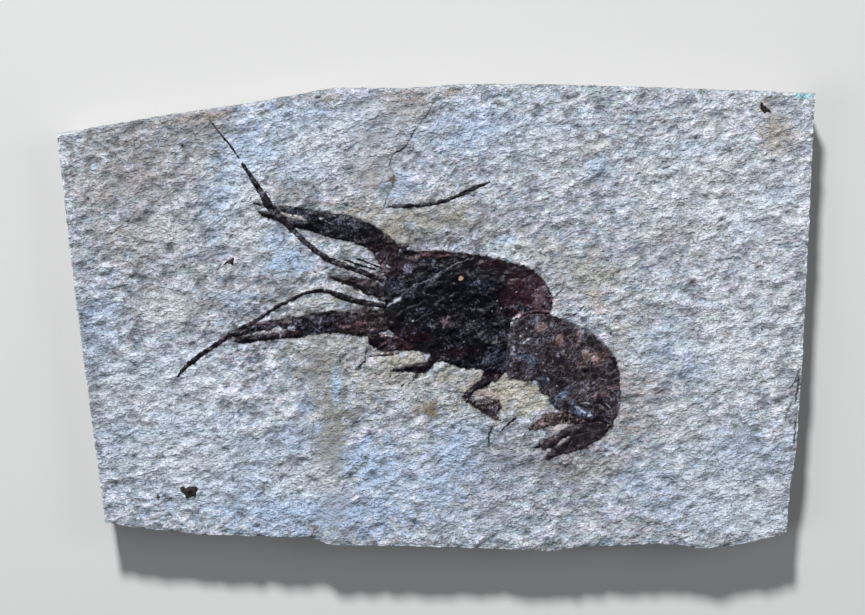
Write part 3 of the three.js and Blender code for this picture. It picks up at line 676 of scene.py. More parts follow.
def patch(bottom, top, left, right):  # a grid of points spread between four edges
    u = np.linspace(0, 1, len(bottom))[None, :, None]
    v = np.linspace(0, 1, len(left))[:, None, None]
    across = (1 - v) * bottom[None] + v * top[None]
    along = (1 - u) * left[:, None] + u * right[:, None]
    low = (1 - u) * bottom[0] + u * bottom[-1]
    high = (1 - u) * top[0] + u * top[-1]
    return across + along - (1 - v) * low - v * high


def ring(columns, rows):  # indices of a grid's border, counter-clockwise from its first corner
    index = np.arange(columns * rows).reshape(rows, columns)
    return np.r_[index[0, :-1], index[:-1, -1], index[-1, :0:-1], index[:0:-1, 0]]


def splitFace(x, y, near=None):  # height of the rock's face, whose grain is finer beside the shell
    if near is None:
        near = distanceToFossil(x, y, broadPieces)[0]
    slender = distanceToFossil(x, y, set(outlines) - broadPieces, 1.0)[0]
    grain = rockRelief["grain"] * lookUp(grainField, x, y) * (1 + fade(rockRelief["rougher"], near))
    grain *= gain(rockRelief["grainNear"], near) * gain(rockRelief["grainSlender"], slender)
    return faceHeight + ground(x, y, near) + grain


sliver = {
    "step": 0.35,
    "wander": 0.1,
    "ends": 0.08,  # half its width at its ends, and what its middle adds, as shares of the width
    "middle": 0.42,
    "ragged": 0.3,
    "proud": 0.05,  # how far it stands over the rock
    "deep": 0.3,
}


def slivers(lines):  # thin dark wedges along lines: in the cracks they are painted shade, elsewhere black specks and dark bristles
    points, faces, shares = [], [], []
    count = 0
    for width, strength, line in lines:
        line = np.array(line)
        steps = max(4, int(np.hypot(*np.diff(line, axis=0).T).sum() / sliver["step"]))
        run = resample(line, steps)
        wander = np.c_[lookUp(wobbleField, *(run.T + 40)), lookUp(wobbleField, *(run.T + 90))]
        run = run + sliver["wander"] * wander
        along = np.gradient(run, axis=0)
        side = np.c_[-along[:, 1], along[:, 0]] / np.hypot(*along.T)[:, None]
        taper = 1 - np.abs(np.linspace(-1, 1, steps + 1)) ** 3
        ragged = 1 + sliver["ragged"] * lookUp(raggedField, *run.T)
        half = width * (sliver["ends"] + sliver["middle"] * taper * ragged)
        broken = np.abs(lookUp(raggedField, *(run.T + 20)))
        height = splitFace(*run.T) + sliver["proud"] - sliver["proud"] * broken
        left, right = run + side * half[:, None], run - side * half[:, None]
        for spot, drop in ((left, 0), (right, 0), (run, sliver["deep"])):
            points.append(np.c_[spot, height - drop])
        a, b, c = [count + k * (steps + 1) + np.arange(steps + 1) for k in range(3)]
        for here, there in ((b, a), (c, b), (a, c)):
            faces += np.c_[here[:-1], here[1:], there[1:], there[:-1]].tolist()
        faces += [[int(a[0]), int(c[0]), int(b[0])], [int(a[-1]), int(b[-1]), int(c[-1])]]
        shares += [strength] * (3 * (steps + 1))
        count += 3 * (steps + 1)
    return np.concatenate(points), faces, np.array(shares)


def finishFace(x, y, edge):  # height and marks of the face; edge is the distance in from its rim
    near, joined = distanceToFossil(x, y, broadPieces)
    cracks = plate["crackShade"] * paintLines(x, y, plateCracks)
    masks = {tint: paintSpots(x, y, spots) for tint, spots in plateStains.items()}
    masks["smear"] = paintSpots(x, y, plateSmears, feather=0.3)
    z = splitFace(x, y, near)
    z -= fade(plate["moat"], near) + fade(plate["sunk"], near)
    worn, width = plate["arris"]
    z -= worn * (1 - smooth(0, width, edge)) ** 2 + plate["crackDepth"] * cracks
    z -= plate["smearFill"] * masks["smear"] * (z - faceHeight)

    lumps, grains = lookUp(lumpField, x, y), lookUp(grainField, x, y)
    # painted shade in the hollows of the lumps and the grain: deeper towards the claws and beside the
    # shell, fainter under smears
    lumpDark, grainDark = plate["hollowDark"]
    hollowShading = 1 + fade(plate["shadeTowardsClaws"], x)
    hollowShading *= (1 - plate["smearFill"] * masks["smear"]) * (1 + fade(rockRelief["rougher"], near))
    masks["paintedHollowShade"] = np.clip(-hollowShading * (lumpDark * lumps + grainDark * grains), *plate["hollowRange"])
    height = rockRelief["lump"] * lumps + plate["ledgeGrain"] * rockRelief["grain"] * grains
    masks["level"] = levelBase + height / rockRelief["ledge"]
    # painted shade along the cracks
    masks["crackShadeAndSpecks"] = cracks
    # painted highlight along the rim of the face, left off the shaded lower edge
    rimHighlight = fade(plate["litRim"], edge) * smooth(*plate["litRimFrom"], y)
    masks["rim"] = np.maximum(masks["rim"], rimHighlight)
    uncleaned = 1 - paintSpots(x, y, plateClean, feather=0.3, wobble=0.1)
    share, reach = plate["residueJoint"]
    below = np.minimum(near, share * joined - reach)
    masks["residue"] = uncleaned * fade((1, -plate["residueSoft"], plate["residueSoft"]), below)
    # painted shade on the rock along the shell's edge
    strength, width = plate["shadeBesideShell"]
    masks["stainAndShade"] = np.maximum(masks["stainAndShade"], strength * uncleaned * (1 - smooth(0, width, near)))
    masks["side"] = np.zeros(len(x))
    return z, masks


def extend(masks, count, **shares):  # more points, which carry only the marks that are named
    for mark in masks:
        masks[mark] = np.r_[masks[mark], np.full(count, shares.get(mark, 0.0))]


def plateBack(foot, above, rim, total):  # a grid that spans the lowest row of the side
    step = plate["backShare"]
    columns, rows = [cells // step for cells in plate["cells"]]
    a, b, c = columns, columns + rows, 2 * columns + rows
    back = patch(foot[:a + 1], foot[b:c + 1][::-1], np.r_[foot[c:], foot[:1]][::-1], foot[a:b + 1])
    x, y = back.reshape(-1, 2).T
    height, waves, reach = plate["backRelief"]
    lift = 1 + waves * lookUp(swellField, x, y + 40) + waves * lookUp(lumpField, x + 30, y)
    lift *= height * smooth(0, reach, -signedDistance(x, y, rim))
    number = np.full(len(x), -1)
    number[ring(columns + 1, rows + 1)] = above
    fresh = np.flatnonzero(number < 0)
    number[fresh] = total + np.arange(len(fresh))
    grid = number.reshape(rows + 1, columns + 1)
    quads = np.stack([grid[:-1, :-1], grid[1:, :-1], grid[1:, 1:], grid[:-1, 1:]], -1)
    return np.c_[x[fresh], y[fresh], np.maximum(lift[fresh], 0)], quads.reshape(-1, 4).tolist()


def buildPlate():
    bottom, top, left, right, rim = plateSides()
    columns, rows = plate["cells"]
    edges = [resample(run, count) for run, count in
        ((bottom, columns), (top, columns), (left, rows), (right, rows))]
    face = patch(*edges).reshape(-1, 2)
    edge = -signedDistance(*face.T, rim)
    nicks = fade(plate["edgeRagged"], edge)[:, None]
    face = face + nicks * np.c_[lookUp(wobbleField, *face.T), lookUp(wobbleField, *(face.T + 70))]
    z, masks = finishFace(*face.T, edge)
    points = [np.c_[face, z]]
    grid = np.arange(len(z)).reshape(rows + 1, columns + 1)
    quads = np.stack([grid[:-1, :-1], grid[:-1, 1:], grid[1:, 1:], grid[1:, :-1]], -1)
    faces = quads.reshape(-1, 4).tolist()

    border = ring(columns + 1, rows + 1)  # the side hangs from the face's border
    rimPoints = face[border]
    spread = plate["rimSpread"]
    along = np.roll(rimPoints, -spread, 0) - np.roll(rimPoints, spread, 0)
    outward = np.c_[along[:, 1], -along[:, 0]] / np.hypot(*along.T)[:, None]
    run = np.r_[0, np.cumsum(np.hypot(*np.diff(rimPoints, axis=0).T))]
    total = len(z)

    def addRow(share, picked):  # a row of the side, this share of the way down
        nonlocal total
        height = z[border][picked] * (1 - share)
        lengthwise, upwards = plate["bedStretch"]
        layers = lookUp(creaseField, run[picked] * lengthwise, height * upwards + 60)
        breaks = lookUp(wobbleField, run[picked], height * plate["breakStretch"] + 20)
        out = plate["sideLayers"] * layers + plate["sideBreaks"] * breaks - plate["sideFrom"]
        out = plate["sideRagged"] * np.minimum(out, 0) * min(1, share * plate["sideStart"])
        worn, start, length = plate["footWorn"]
        out -= worn * max(0, (share - start) / length)
        points.append(np.c_[rimPoints[picked] + outward[picked] * out[:, None], height])
        extend(masks, len(picked), side=1.0)
        total += len(picked)
        return np.arange(total - len(picked), total)

    above, everyOne, step = border, np.arange(len(border)), plate["backShare"]
    for share in plate["rows"]:
        below = addRow(share, everyOne)
        faces += np.c_[np.roll(above, -1), np.roll(below, -1), below, above].tolist()
        above = below
    for number, share in enumerate(plate["coarseRows"]):
        below = addRow(share, everyOne[::step])
        if number == 0:  # one wide cell meets several narrow ones
            for k in range(len(below)):
                fan = [int(above[(k * step + j) % len(above)]) for j in range(step + 1)]
                faces.append(fan + [int(below[(k + 1) % len(below)]), int(below[k])])
        else:
            faces += np.c_[above, np.roll(above, -1), np.roll(below, -1), below].tolist()
        above = below

    back, quads = plateBack(points[-1][:, :2], above, rim, total)
    points.append(back)
    faces += quads
    extend(masks, len(back), side=plate["backTint"])
    total += len(back)
    for mark, lines in (("crackShadeAndSpecks", plateCracks), ("residue", plateStreaks)):
        spots, strips, shares = slivers(lines)
        points.append(spots)
        faces += [[total + v for v in strip] for strip in strips]
        extend(masks, len(spots), **{mark: shares})
        total += len(spots)
    addPiece("plate_of_shale", np.concatenate(points), faces, shale, ["shale_plate"], masks)


buildPlate()
print("plate built")

# The shell's films. Each is a tablet with a ragged edge that follows its CAD outline, domed a little, and
# sunk in the rock.

# Marks on the shell, laid out like the plate's stains
shellMarks = {
    "rust": [
        (21.8, 7.5, 5.7, 5.9, 0.75), (25.4, 7.2, 2.8, 5.2, 0.8), (18, 4.1, 2.4, 3.3, 0.6),
        (-11.2, 14.6, 4.7, 4.5, 0.4, -20), (-1, 14.9, 4, 0.8, 0.6, 5), (-17.6, -1.1, 6.2, 3.3, 0.3),
        (-9, -6.8, 6.2, 1.7, 0.6, 15), (-8.1, -4.4, 5.2, 2.4, 0.3, 10), (39.6, -8, 2.6, 1.7, 0.9, 20),
        (29.4, -5.6, 1.6, 1.9, 0.7), (24.4, -1.8, 1.6, 1.2, 0.7), (27.5, -24.3, 5.2, 1.9, 0.6, -10),
        (25.1, -25, 1.4, 1.2, 0.9), (13.3, -20.8, 2.1, 1.7, 0.7, 20), (41.7, -18.6, 1.9, 3.3, 0.4),
        (38.9, -12.9, 3.3, 2.8, 0.3), (33, -6.5, 3.3, 2.4, 0.3), (14.5, 12.5, 5, 1.6, 0.5, -12),
        (-15.7, 8.6, 3.1, 2.1, 0.2, 15), (10.4, 16.5, 7.1, 1.6, 0.3, 8), (6.1, 10.6, 0.5, 0.5, 0.9),
        (4.5, -8.2, 7.1, 1.4, 0.2, 5), (28.3, -29.3, 3, 0.8, 0.5, 40), (-38, -2.6, 6, 2.4, 0.4, 8)],
    "bloom": [
        (24.4, 4.4, 2.4, 2.8, 0.45), (0.9, -3, 14.7, 6.2, 0.14, 5), (22.3, -8.2, 7.1, 5.2, 0.4),
        (4.5, 3.7, 9.5, 3.8, 0.12), (-0.4, 9.7, 1.1, 0.9, 0.6), (-10, 7.5, 1.2, 1.2, 0.5),
        (10.4, 7.9, 2.4, 1.2, 0.4), (8.8, 2.8, 2.1, 1.2, 0.5), (-1.3, -1.5, 1.2, 1, 0.6),
        (5.7, -3.9, 0.8, 0.8, 0.6), (2.5, -4.9, 0.9, 0.9, 0.6), (24.2, -1.1, 3.1, 1.7, 0.45),
        (-6.3, 11.6, 1.3, 1.2, 0.75, 20), (-9, 7.9, 4.7, 1.7, 0.3, -10), (9.5, -0.8, 2.4, 0.9, 0.45),
        (3.2, -7.4, 0.8, 0.7, 0.6), (18.1, -7.5, 0.9, 1.1, 0.65), (15.6, -23.4, 1.4, 1.4, 0.6),
        (35.3, -20.1, 4.7, 4.3, 0.35), (36.5, -9.5, 3.5, 2.5, 0.55), (30, -3, 3, 2, 0.45),
        (15.2, -3, 5.7, 4.3, 0.25), (40, -16, 1.5, 4, 0.5), (-11.1, -7.2, 1.2, 0.6, 0.8),
        (-20, 0.5, 3, 1.2, 0.35, 8), (-14.6, 9.2, 2.2, 1.2, 0.25, -20), (-12, 12.5, 1.6, 1.6, 0.5),
        (-7.5, 14.5, 1.6, 0.8, 0.5)],
    # pink mineral, with painted glints in places
    "blushAndGlint": [
        (-2.6, 14.9, 1.4, 0.35, 0.45, 5), (0.9, 14.6, 1.4, 0.3, 0.4, 5), (-5.5, 14.2, 1, 0.35, 0.5, 25),
        (29.5, -5.6, 1.1, 1.2, 0.15), (24.6, -2.1, 1.1, 0.9, 0.15), (37.7, -10.3, 0.6, 1, 0.9, 25),
        (33.6, -11, 0.8, 0.75, 0.4), (34.1, -4.2, 0.6, 1.1, 0.5), (41.3, -9.4, 0.4, 0.85, 0.5),
        (36.9, -8.6, 1.1, 0.35, 0.6, 10), (14.4, -13.6, 0.4, 0.9, 0.4), (-11.6, -4, 1.3, 0.35, 1, 12),
        (-9.9, -4.9, 1.1, 0.3, 0.7, 20), (-10, -7, 0.7, 0.4, 0.4), (-13, -6.6, 1.4, 0.25, 0.5, 30),
        (41.6, -16.5, 1.2, 0.4, 0.5), (37.7, -17.6, 0.45, 1.2, 0.55, 5), (39.6, -18.4, 0.7, 0.7, 0.3),
        (24.8, 4.6, 1.9, 2.4, 0.25), (24.9, -25.2, 0.9, 0.6, 0.5), (-12.4, 12, 0.8, 0.5, 0.9, -30),
        (-14.6, 14.2, 1, 0.5, 0.5, -35), (-16.8, 8.2, 1.2, 0.4, 0.15, -20), (-18, -1.2, 1.4, 0.4, 0.5, 10),
        (-21.5, -2.2, 1.6, 0.4, 0.4, 5), (-15, -3, 1, 0.4, 0.5)],
    # pale chalky specks, many of them painted glints
    "chalkAndGlint": [
        (20.9, -5.9, 0.45, 0.25, 1, 40), (21.8, -5.2, 0.4, 0.2, 0.9, 10), (21.3, -5.6, 0.9, 0.15, 0.6, 35),
        (21.4, -2.6, 0.25, 0.2, 0.8), (26.5, -14.6, 0.15, 0.3, 0.7, 25), (-34.4, -2.5, 0.66, 0.43, 0.9),
        (-3.3, -9.4, 1.1, 0.85, 0.85, 30), (-5.5, -0.8, 0.16, 0.14, 1), (19, 6, 0.2, 0.15, 1, 30),
        (14.5, 3.9, 0.16, 0.13, 0.9), (2.4, 10.1, 0.2, 0.2, 0.7), (15.4, 2.2, 0.16, 0.12, 0.7, 20),
        (13.3, 1.5, 0.2, 0.14, 0.7), (3.6, 4.1, 0.2, 0.14, 0.6), (18, -8.2, 0.24, 0.24, 0.8),
        (18.3, -7.1, 0.3, 0.22, 0.6), (18.4, -7.7, 0.28, 0.28, 0.7), (17.9, -8.6, 0.28, 0.24, 0.5),
        (35.2, -22.5, 0.5, 0.2, 1, -35), (36.2, -23.2, 0.3, 0.2, 0.9), (19.9, -4.4, 0.2, 0.2, 0.7),
        (23.7, -8.6, 0.2, 0.2, 0.7), (28.6, -16.2, 0.2, 0.2, 0.6), (-27.3, 23.4, 0.4, 0.2, 0.7, -25),
        (-25, 22.3, 0.7, 0.15, 0.55, -22), (-26.2, 22.8, 0.4, 0.15, 0.5, -24),
        (-11.4, 12.1, 0.5, 0.3, 0.7, -30), (37.2, -9.4, 0.5, 0.2, 0.6, 30), (34.9, -3.6, 0.3, 0.5, 0.4)],
    "peach": [
        (5.9, 9.3, 0.42, 0.4, 1), (24.6, -2.1, 1.2, 0.9, 0.12), (29.5, -5.6, 1, 1.2, 0.1),
        (36.4, -9.4, 1.8, 1, 0.1), (-11.8, -4.1, 0.8, 0.3, 0.4, 10)],
    "veil": [(22.3, -8, 6, 4.5, 0.6), (31, -10, 8, 7, 0.5), (-11, 13, 4, 4, 0.2)],
    "bare": [
        (-53, 46, 2.4, 3, 0.75), (16.4, -23.2, 1.2, 1.2, 0.6), (42, -16, 0.8, 3, 0.6),
        (12.6, -20.2, 2.6, 1.4, 0.9, -30), (36, -10, 4, 3.5, 0.6), (33, -5, 3, 2, 0.4),
        (38, -17, 3, 3, 0.4)],
    # painted blue reflection on the gloss, in specks
    "blueReflection": [
        (34.3, -22, 2.4, 0.9, 0.7, -25), (29.6, -18.9, 2.2, 0.8, 0.55, 35),
        (22.4, -10.4, 1.1, 1.9, 0.4, 10), (20.9, -9.4, 0.7, 0.7, 0.4), (15.1, -9.1, 2.8, 2.4, 0.12),
        (15.9, -25.3, 0.8, 0.9, 0.7), (25.8, -14.8, 0.8, 1.2, 0.2), (-9.8, 7.6, 1.4, 1.2, 0.12),
        (10.6, 8, 2.6, 1.2, 0.1), (28.2, -20.2, 0.9, 0.7, 0.6)],
    "jet": [
        (-6.9, 14.8, 2.4, 1.4, 0.9), (4.5, 6.5, 2.8, 3.3, 0.8), (9.9, 14.1, 4.7, 1.4, 0.7, 10),
        (-9.7, -1.1, 2.4, 2.4, 0.8), (-1.4, 4.1, 2.4, 1.4, 0.7), (15.2, 6.5, 2.1, 2.1, 0.7),
        (36.5, -12.9, 3.3, 1.9, 0.9, 10), (29.4, -10.6, 1.9, 1.2, 0.9), (36.5, -25.5, 5.5, 1.9, 1, 15),
        (33, -28.1, 5.3, 1.9, 1, 20), (38.9, -20.8, 1.2, 2.6, 0.9), (-14.4, -5.2, 1.7, 1.5, 1),
        (-27.5, 1.2, 2.5, 1.6, 0.6, 8), (-21.8, 3.6, 2, 1.6, 0.6), (-1.4, -6.5, 2.8, 1.9, 0.6),
        (24.8, -14.6, 2.2, 1.4, 1, 10), (31.5, -3.5, 1, 1.4, 0.9, 20), (37, -6, 3, 1.2, 0.9, -40),
        (29.5, -15.5, 2, 1.2, 0.7), (-24, 9.6, 2.2, 0.6, 0.9, -10), (-19.6, 8.1, 2.4, 0.7, 0.9, -20),
        (-17, 5.9, 1.6, 0.7, 0.9, -40), (-14.8, 4.3, 1.4, 0.5, 0.8, -35), (-14.5, 19, 3, 2, 0.8, -40),
        (-15.2, 8.6, 2.4, 2.2, 0.6), (9, -20.4, 2.4, 0.5, 1, -33), (12.7, -22.7, 2.8, 0.6, 1, -33),
        (18.5, 12.4, 4.5, 2.2, 0.55, -22), (14.6, 10.6, 2.5, 2.5, 0.4), (30.6, -12.6, 3.4, 1.8, 0.6, 5),
        (41.9, -12, 1.3, 5, 0.5), (26, -8.5, 2, 1.2, 0.4, 20)],
}
# Seams: width, strength, points
paleSeams = [
    (0.11, 0.65, [(8.8, 14.1), (6.3, 13.3), (2.8, 11.7), (0.9, 10.6), (-0.3, 9.6), (-2.9, 8.4),
        (-5.2, 7.5)]),
    (0.1, 0.4, [(-5.2, 7.5), (-7.2, 6.1), (-8.6, 4.8)]),
    (0.12, 0.3, [(0.9, 10.1), (-0.8, 9.2), (-2.2, 8.9)]),
    (0.12, 0.6, [(38.9, -21.5), (40.3, -22), (41.7, -22.9)]),
    (0.12, 0.55, [(39.6, -23.6), (40.3, -24.3), (40.8, -24.8)]),
    (0.1, 0.5, [(32.0, -29.2), (31.6, -30.2), (31.5, -31.2)]),
    (0.1, 0.3, [(0.9, 8.6), (-1, 7.9), (-2.9, 7)]),
    (0.1, 0.25, [(-9, 6), (-6.2, 7), (-3.8, 7.5)]),
    (0.1, 0.2, [(-8.6, 1.3), (-5.7, 2.7), (-2.4, 4.1)]),
    (0.1, 0.15, [(-6.7, -2), (-3.8, -0.1), (-0.5, 1.3)]),
]
# Pale strokes and patches that go into the chalk mark: pale mineral, with painted glints in places
brightStrokes = [
    (0.16, 1.0, [(33.2, -21.3), (34.0, -21.6), (34.6, -22.1)]),
    (0.14, 1.0, [(34.4, -20.4), (35.3, -20.3), (36.2, -20.4)]),
    (0.12, 0.8, [(36.6, -22.4), (36.3, -23.1), (35.9, -23.6)]),
    (0.12, 0.7, [(29.2, -19.4), (29.9, -19.1), (30.5, -18.6)]),
    (0.12, 0.6, [(28.6, -18.7), (28.6, -19.4), (28.5, -20.1)]),
    (0.12, 0.5, [(26.3, -14.3), (26.5, -14.8), (26.8, -15.1)]),
    (0.1, 0.5, [(40.6, -18.6), (41.2, -19.0), (41.6, -19.6)]),
    (0.1, 0.7, [(40.2, -20.3), (40.7, -20.8), (41.2, -21.4)]),
    (0.1, 0.5, [(38.6, -20.6), (39.2, -20.9), (39.9, -21.4)]),
]
palePatches = [
    (0.2, 0.9, [(17.9, -0.7), (18.9, -0.2), (19.8, 0.6)]),
    (0.14, 0.7, [(-12.4, -3.6), (-11.5, -4.1), (-10.6, -4.4)]),
    (0.16, 1.0, [(-11.5, 2.9), (-10.2, 3.5), (-9.3, 3.8)]),
    (0.34, 1.0, [(-9.5, 3.9), (-8.7, 4.4)]),
]
# Pink seams that go into the blush mark: pink mineral, with painted glints in places
pinkSeams = [
    (0.36, 1.3, [(17.8, -0.8), (18.9, -0.3), (19.8, 0.5), (20.6, 1)]),
    (0.16, 0.6, [(20.6, 1), (22.8, 1.5), (24.7, 1.6), (27, 1.5)]),
    (0.26, 0.6, [(1.6, -2.4), (2.4, -1.0), (2.9, 0.4)]),
    (0.22, 0.5, [(0.5, -1.2), (2.4, -1.0), (4.1, -1.3)]),
    (0.2, 0.4, [(3.6, -2.6), (2.4, -1.0), (1.4, -0.1)]),
]

# What each kind of film is: cell and sizes in mm, then how much veil, bloom, rust and bare rock it shows
film = {"step": 0.15, "rise": 0.1, "shoulder": 0.22, "dome": 0.1, "domeReach": 1.5, "ragged": 0.14,
    "grain": 0.02, "veil": 0.0, "bloom": 0.0, "rust": 0.0, "bare": 0.0}
body = {**film, "step": 0.18, "rise": 0.14, "shoulder": 0.35, "dome": 0.5, "domeReach": 6.0}
carapace = {**body, "ragged": 0.17}
somites = {**body, "ragged": 0.15, "veil": 0.42, "bloom": 0.42, "rust": 0.1, "bare": 0.15}
fan = {**film, "step": 0.16, "shoulder": 0.25, "domeReach": 2.0}
tailFan = {**fan, "rise": 0.14, "dome": 0.15, "grain": 0.015, "veil": 0.52, "rust": 0.18, "bare": 0.12}
faintFan = {**fan, "ragged": 0.24, "veil": 0.5, "bloom": 0.15, "rust": 0.8, "bare": 0.75}
limb = {**film, "step": 0.16, "rise": 0.12, "shoulder": 0.25, "dome": 0.2, "domeReach": 2.2}
clawPalms = {**limb, "grain": 0.015, "veil": 0.06, "bloom": 0.36}
clawFingers = {**film, "domeReach": 1.2, "ragged": 0.11, "grain": 0.015, "veil": 0.05, "bloom": 0.12}
arms = {**limb, "ragged": 0.15, "bloom": 0.08, "rust": 0.13, "bare": 0.12}
antennae = {**film, "step": 0.13, "rise": 0.09, "shoulder": 0.15, "dome": 0.05, "domeReach": 0.5,
    "ragged": 0.08, "grain": 0.01, "veil": 0.2, "bloom": 0.12, "bare": 0.05}
bristles = {**film, "step": 0.1, "rise": 0.07, "shoulder": 0.1, "dome": 0.03, "domeReach": 0.25,
    "ragged": 0.06, "veil": 0.1, "bloom": 0.05, "rust": 0.05}
mouthparts = {**film, "rise": 0.12, "dome": 0.15, "ragged": 0.15, "bloom": 0.02, "rust": 0.06, "bare": 0.06}
scales = {**film, "ragged": 0.2, "veil": 0.08, "bloom": 0.2, "rust": 0.08, "bare": 0.12}
legs = {**film, "shoulder": 0.2, "dome": 0.12, "domeReach": 1.0, "ragged": 0.13, "bloom": 0.1, "rust": 0.1}
stainedLeg = {**film, "rise": 0.08, "shoulder": 0.3, "dome": 0.08, "domeReach": 1.0, "ragged": 0.28,
    "veil": 0.5, "bloom": 0.3, "rust": 0.6, "bare": 0.9}
crumbs = {**film, "step": 0.14, "rise": 0.12, "shoulder": 0.2, "domeReach": 0.4, "ragged": 0.07,
    "grain": 0.05}
filmLooks = {
    "carapace": carapace,
    **{f"somite_{n}": somites for n in range(1, 7)},
    "uropod_upper": faintFan,
    "telson": tailFan,
    "telson_tip": bristles,
    "uropod_lower": tailFan,
    "upper_claw_palm": clawPalms,
    "upper_claw_finger": clawFingers,
    "upper_claw_wrist": clawPalms,
    "upper_claw_arm": arms,
    "lower_claw_palm": clawPalms,
    "lower_claw_finger": clawFingers,
    "lower_claw_wrist": arms,
    "lower_claw_arm": arms,
    "antenna_upper": antennae,
    "antenna_upper_tip": bristles,
    "antenna_lower": antennae,
    "antenna_loose": antennae,
    "antennule_upper": bristles,
    "antennule_lower": bristles,
    "antennal_scale": scales,
    "maxilliped": mouthparts,
    "maxilliped_palp": bristles,
    "walking_leg": legs,
    "bent_leg_upper": legs,
    "bent_leg_lower": stainedLeg,
    "leg_scale": legs,
    "leg_splinter": bristles,
    **{f"plant_fleck_{place}": crumbs for place in ("left", "corner", "low")},
}
slots = {part["node"]: part["material_slot"] for part in frame["record"]["subparts"]}
crossings = {  # what a slender piece runs over
    "antenna_upper": ("upper_claw_palm", "upper_claw_finger"), "antenna_lower": ("lower_claw_palm",)}
crossingThin = 0.8  # a piece on top of another is this much of its usual height
crossingBite = 0.12  # and reaches this far into it
crossingRamp = (-0.25, 0.5)  # the stretch beside the lower one's edge in which it comes down
crossingGap = 0.05
filmSink = 0.5  # the tablet's underside below the rock's face
filmLift = 0.04  # the least that a film stands over the rock
filmCrumple = 1.6  # weight of the wide wrinkles in its grain
crumpleStart = 0.4  # mm in from the edge, where the grain is there in full
filmWobble = 0.5  # weight of the wide bends in its ragged edge
edgeFade = (-0.02, 0.05)  # a film's top comes down to its edge over this stretch, but not at a joint
cutMargin = 0.5  # grid round an outline. Two films reach its end beside a joint, and are open there
cutRange = (0.12, 0.88)  # keeps the cells along the edge from getting too thin
calmDepth = 2.5  # mm in from the border, where the rock's lumps show this much less
calmShare = 0.44
seamRelief = 0.08
seamPale = (0.8, 0.6)  # strength of the seams, and how much chalk they carry
jetFades = {"veil": 0.4, "rust": 0.85, "bloom": 0.6, "bare": 0.85}  # jet black shell shows less of these
jointReach = 0.8  # neighbours closer than this have grown together, but for these pairs
pairReach = [  # a pair, its reach, and the x that it starts from, where -99 is everywhere
    ({"upper_claw_palm", "upper_claw_finger"}, 0.7, -30.8),
    ({"lower_claw_palm", "lower_claw_finger"}, 0.6, -37),
    ({"bent_leg_upper", "bent_leg_lower"}, 0.4, -99), ({"uropod_upper", "telson"}, 0.66, 31.0),
    ({"telson", "uropod_lower"}, 0.9, 31.2), ({"somite_6", "telson"}, 1.4, 32),
    ({"somite_6", "uropod_lower"}, 1.2, 30), ({"somite_6", "uropod_upper"}, 1.1, 29)]
fuller = {  # antennae that thicken towards the body: by how much, and the x between which they do
    "antenna_lower": (0.21, -27, -23), "antenna_upper": (0.11, -38, -33), "antenna_loose": (0.08, -12, -10)}
jointLeft = 0.02  # and meet with this much left on either side
jointFade = 0.15
jointKeep = 0.1
beyond = 9.0  # further than any joint reaches
borderStep = 0.5
borderGap = 0.1  # how far past a joint's reach the outer border starts
jointGroove = {"depth": 0.07, "width": 0.16}


def joins(name):
    return name in broadPieces


def reachOf(name, other, x):
    for pair, reach, start in pairReach:
        if pair == {name, other}:
            return reach * smooth(start - 0.4, start + 0.4, x)
    return np.full(x.shape, jointReach)


def outerBorder():  # the stretches of the outlines with no neighbour beside them, as short pieces
    found = []
    for name, loop in outlines.items():
        if not joins(name):
            continue
        pieces = []
        for a, b in zip(loop, np.roll(loop, -1, 0)):
            count = max(1, math.ceil(math.dist(a, b) / borderStep))
            cuts = a + (b - a) * np.linspace(0, 1, count + 1)[:, None]
            pieces += list(zip(cuts, cuts[1:]))
        pieces = np.array(pieces)
        middle = pieces.mean(1)
        lone = np.full(len(middle), True)
        for other, rim in outlines.items():
            if other != name and joins(other):
                lone &= signedDistance(*middle.T, rim) > reachOf(name, other, middle[:, 0]) + borderGap
        found.append(pieces[lone])
    return np.concatenate(found)


border = outerBorder()


def depthInShell(x, y, reach=6.0):  # distance in from the outer border of the joined pieces
    low, high = (x.min() - reach, y.min() - reach), (x.max() + reach, y.max() + reach)
    near = (border[:, 0] > low).all(1) & (border[:, 0] < high).all(1)
    depth = np.full(x.shape, reach ** 2)
    for a, b in border[near]:
        depth = np.minimum(depth, toStretch(x, y, a, b))
    return np.sqrt(depth)


def filmProfile(look, depth):  # height of a film over the rock, depth mm in from its edge
    inside = np.maximum(depth, 0)
    shoulder = look["rise"] * (1 - np.exp(-inside / look["shoulder"]))
    return filmLift + shoulder + look["dome"] * smooth(0, look["domeReach"], inside)


def filmEdge(name, x, y):  # signed distance to the film's edge, joints closed, and how near a joint is
    amount, start, end = fuller.get(name, (0, 0, 1))
    own = signedDistance(x, y, outlines[name]) - amount * smooth(start, end, x)
    others, close, growth = np.full(x.shape, beyond), np.zeros(x.shape), np.zeros(x.shape)
    low, high = outlines[name].min(0) - 1, outlines[name].max(0) + 1
    for other, loop in outlines.items():
        apart = other == name or not (joins(name) and joins(other))
        if apart or (loop.min(0) > high).any() or (loop.max(0) < low).any():
            continue
        away, reach = signedDistance(x, y, loop), reachOf(name, other, x)
        others = np.minimum(others, away)
        joint = 1 - smooth(-jointFade, 0, own + away - reach)
        close, growth = np.maximum(close, joint), np.maximum(growth, 0.5 * reach * joint)
    grown = np.maximum(own - growth, np.where(close > 0, (own - others) / 2 + jointLeft, -beyond))
    ragged = lookUp(raggedField, x, y) + filmWobble * lookUp(wobbleField, x, y)
    return grown + filmLooks[name]["ragged"] * ragged * (1 - close), close


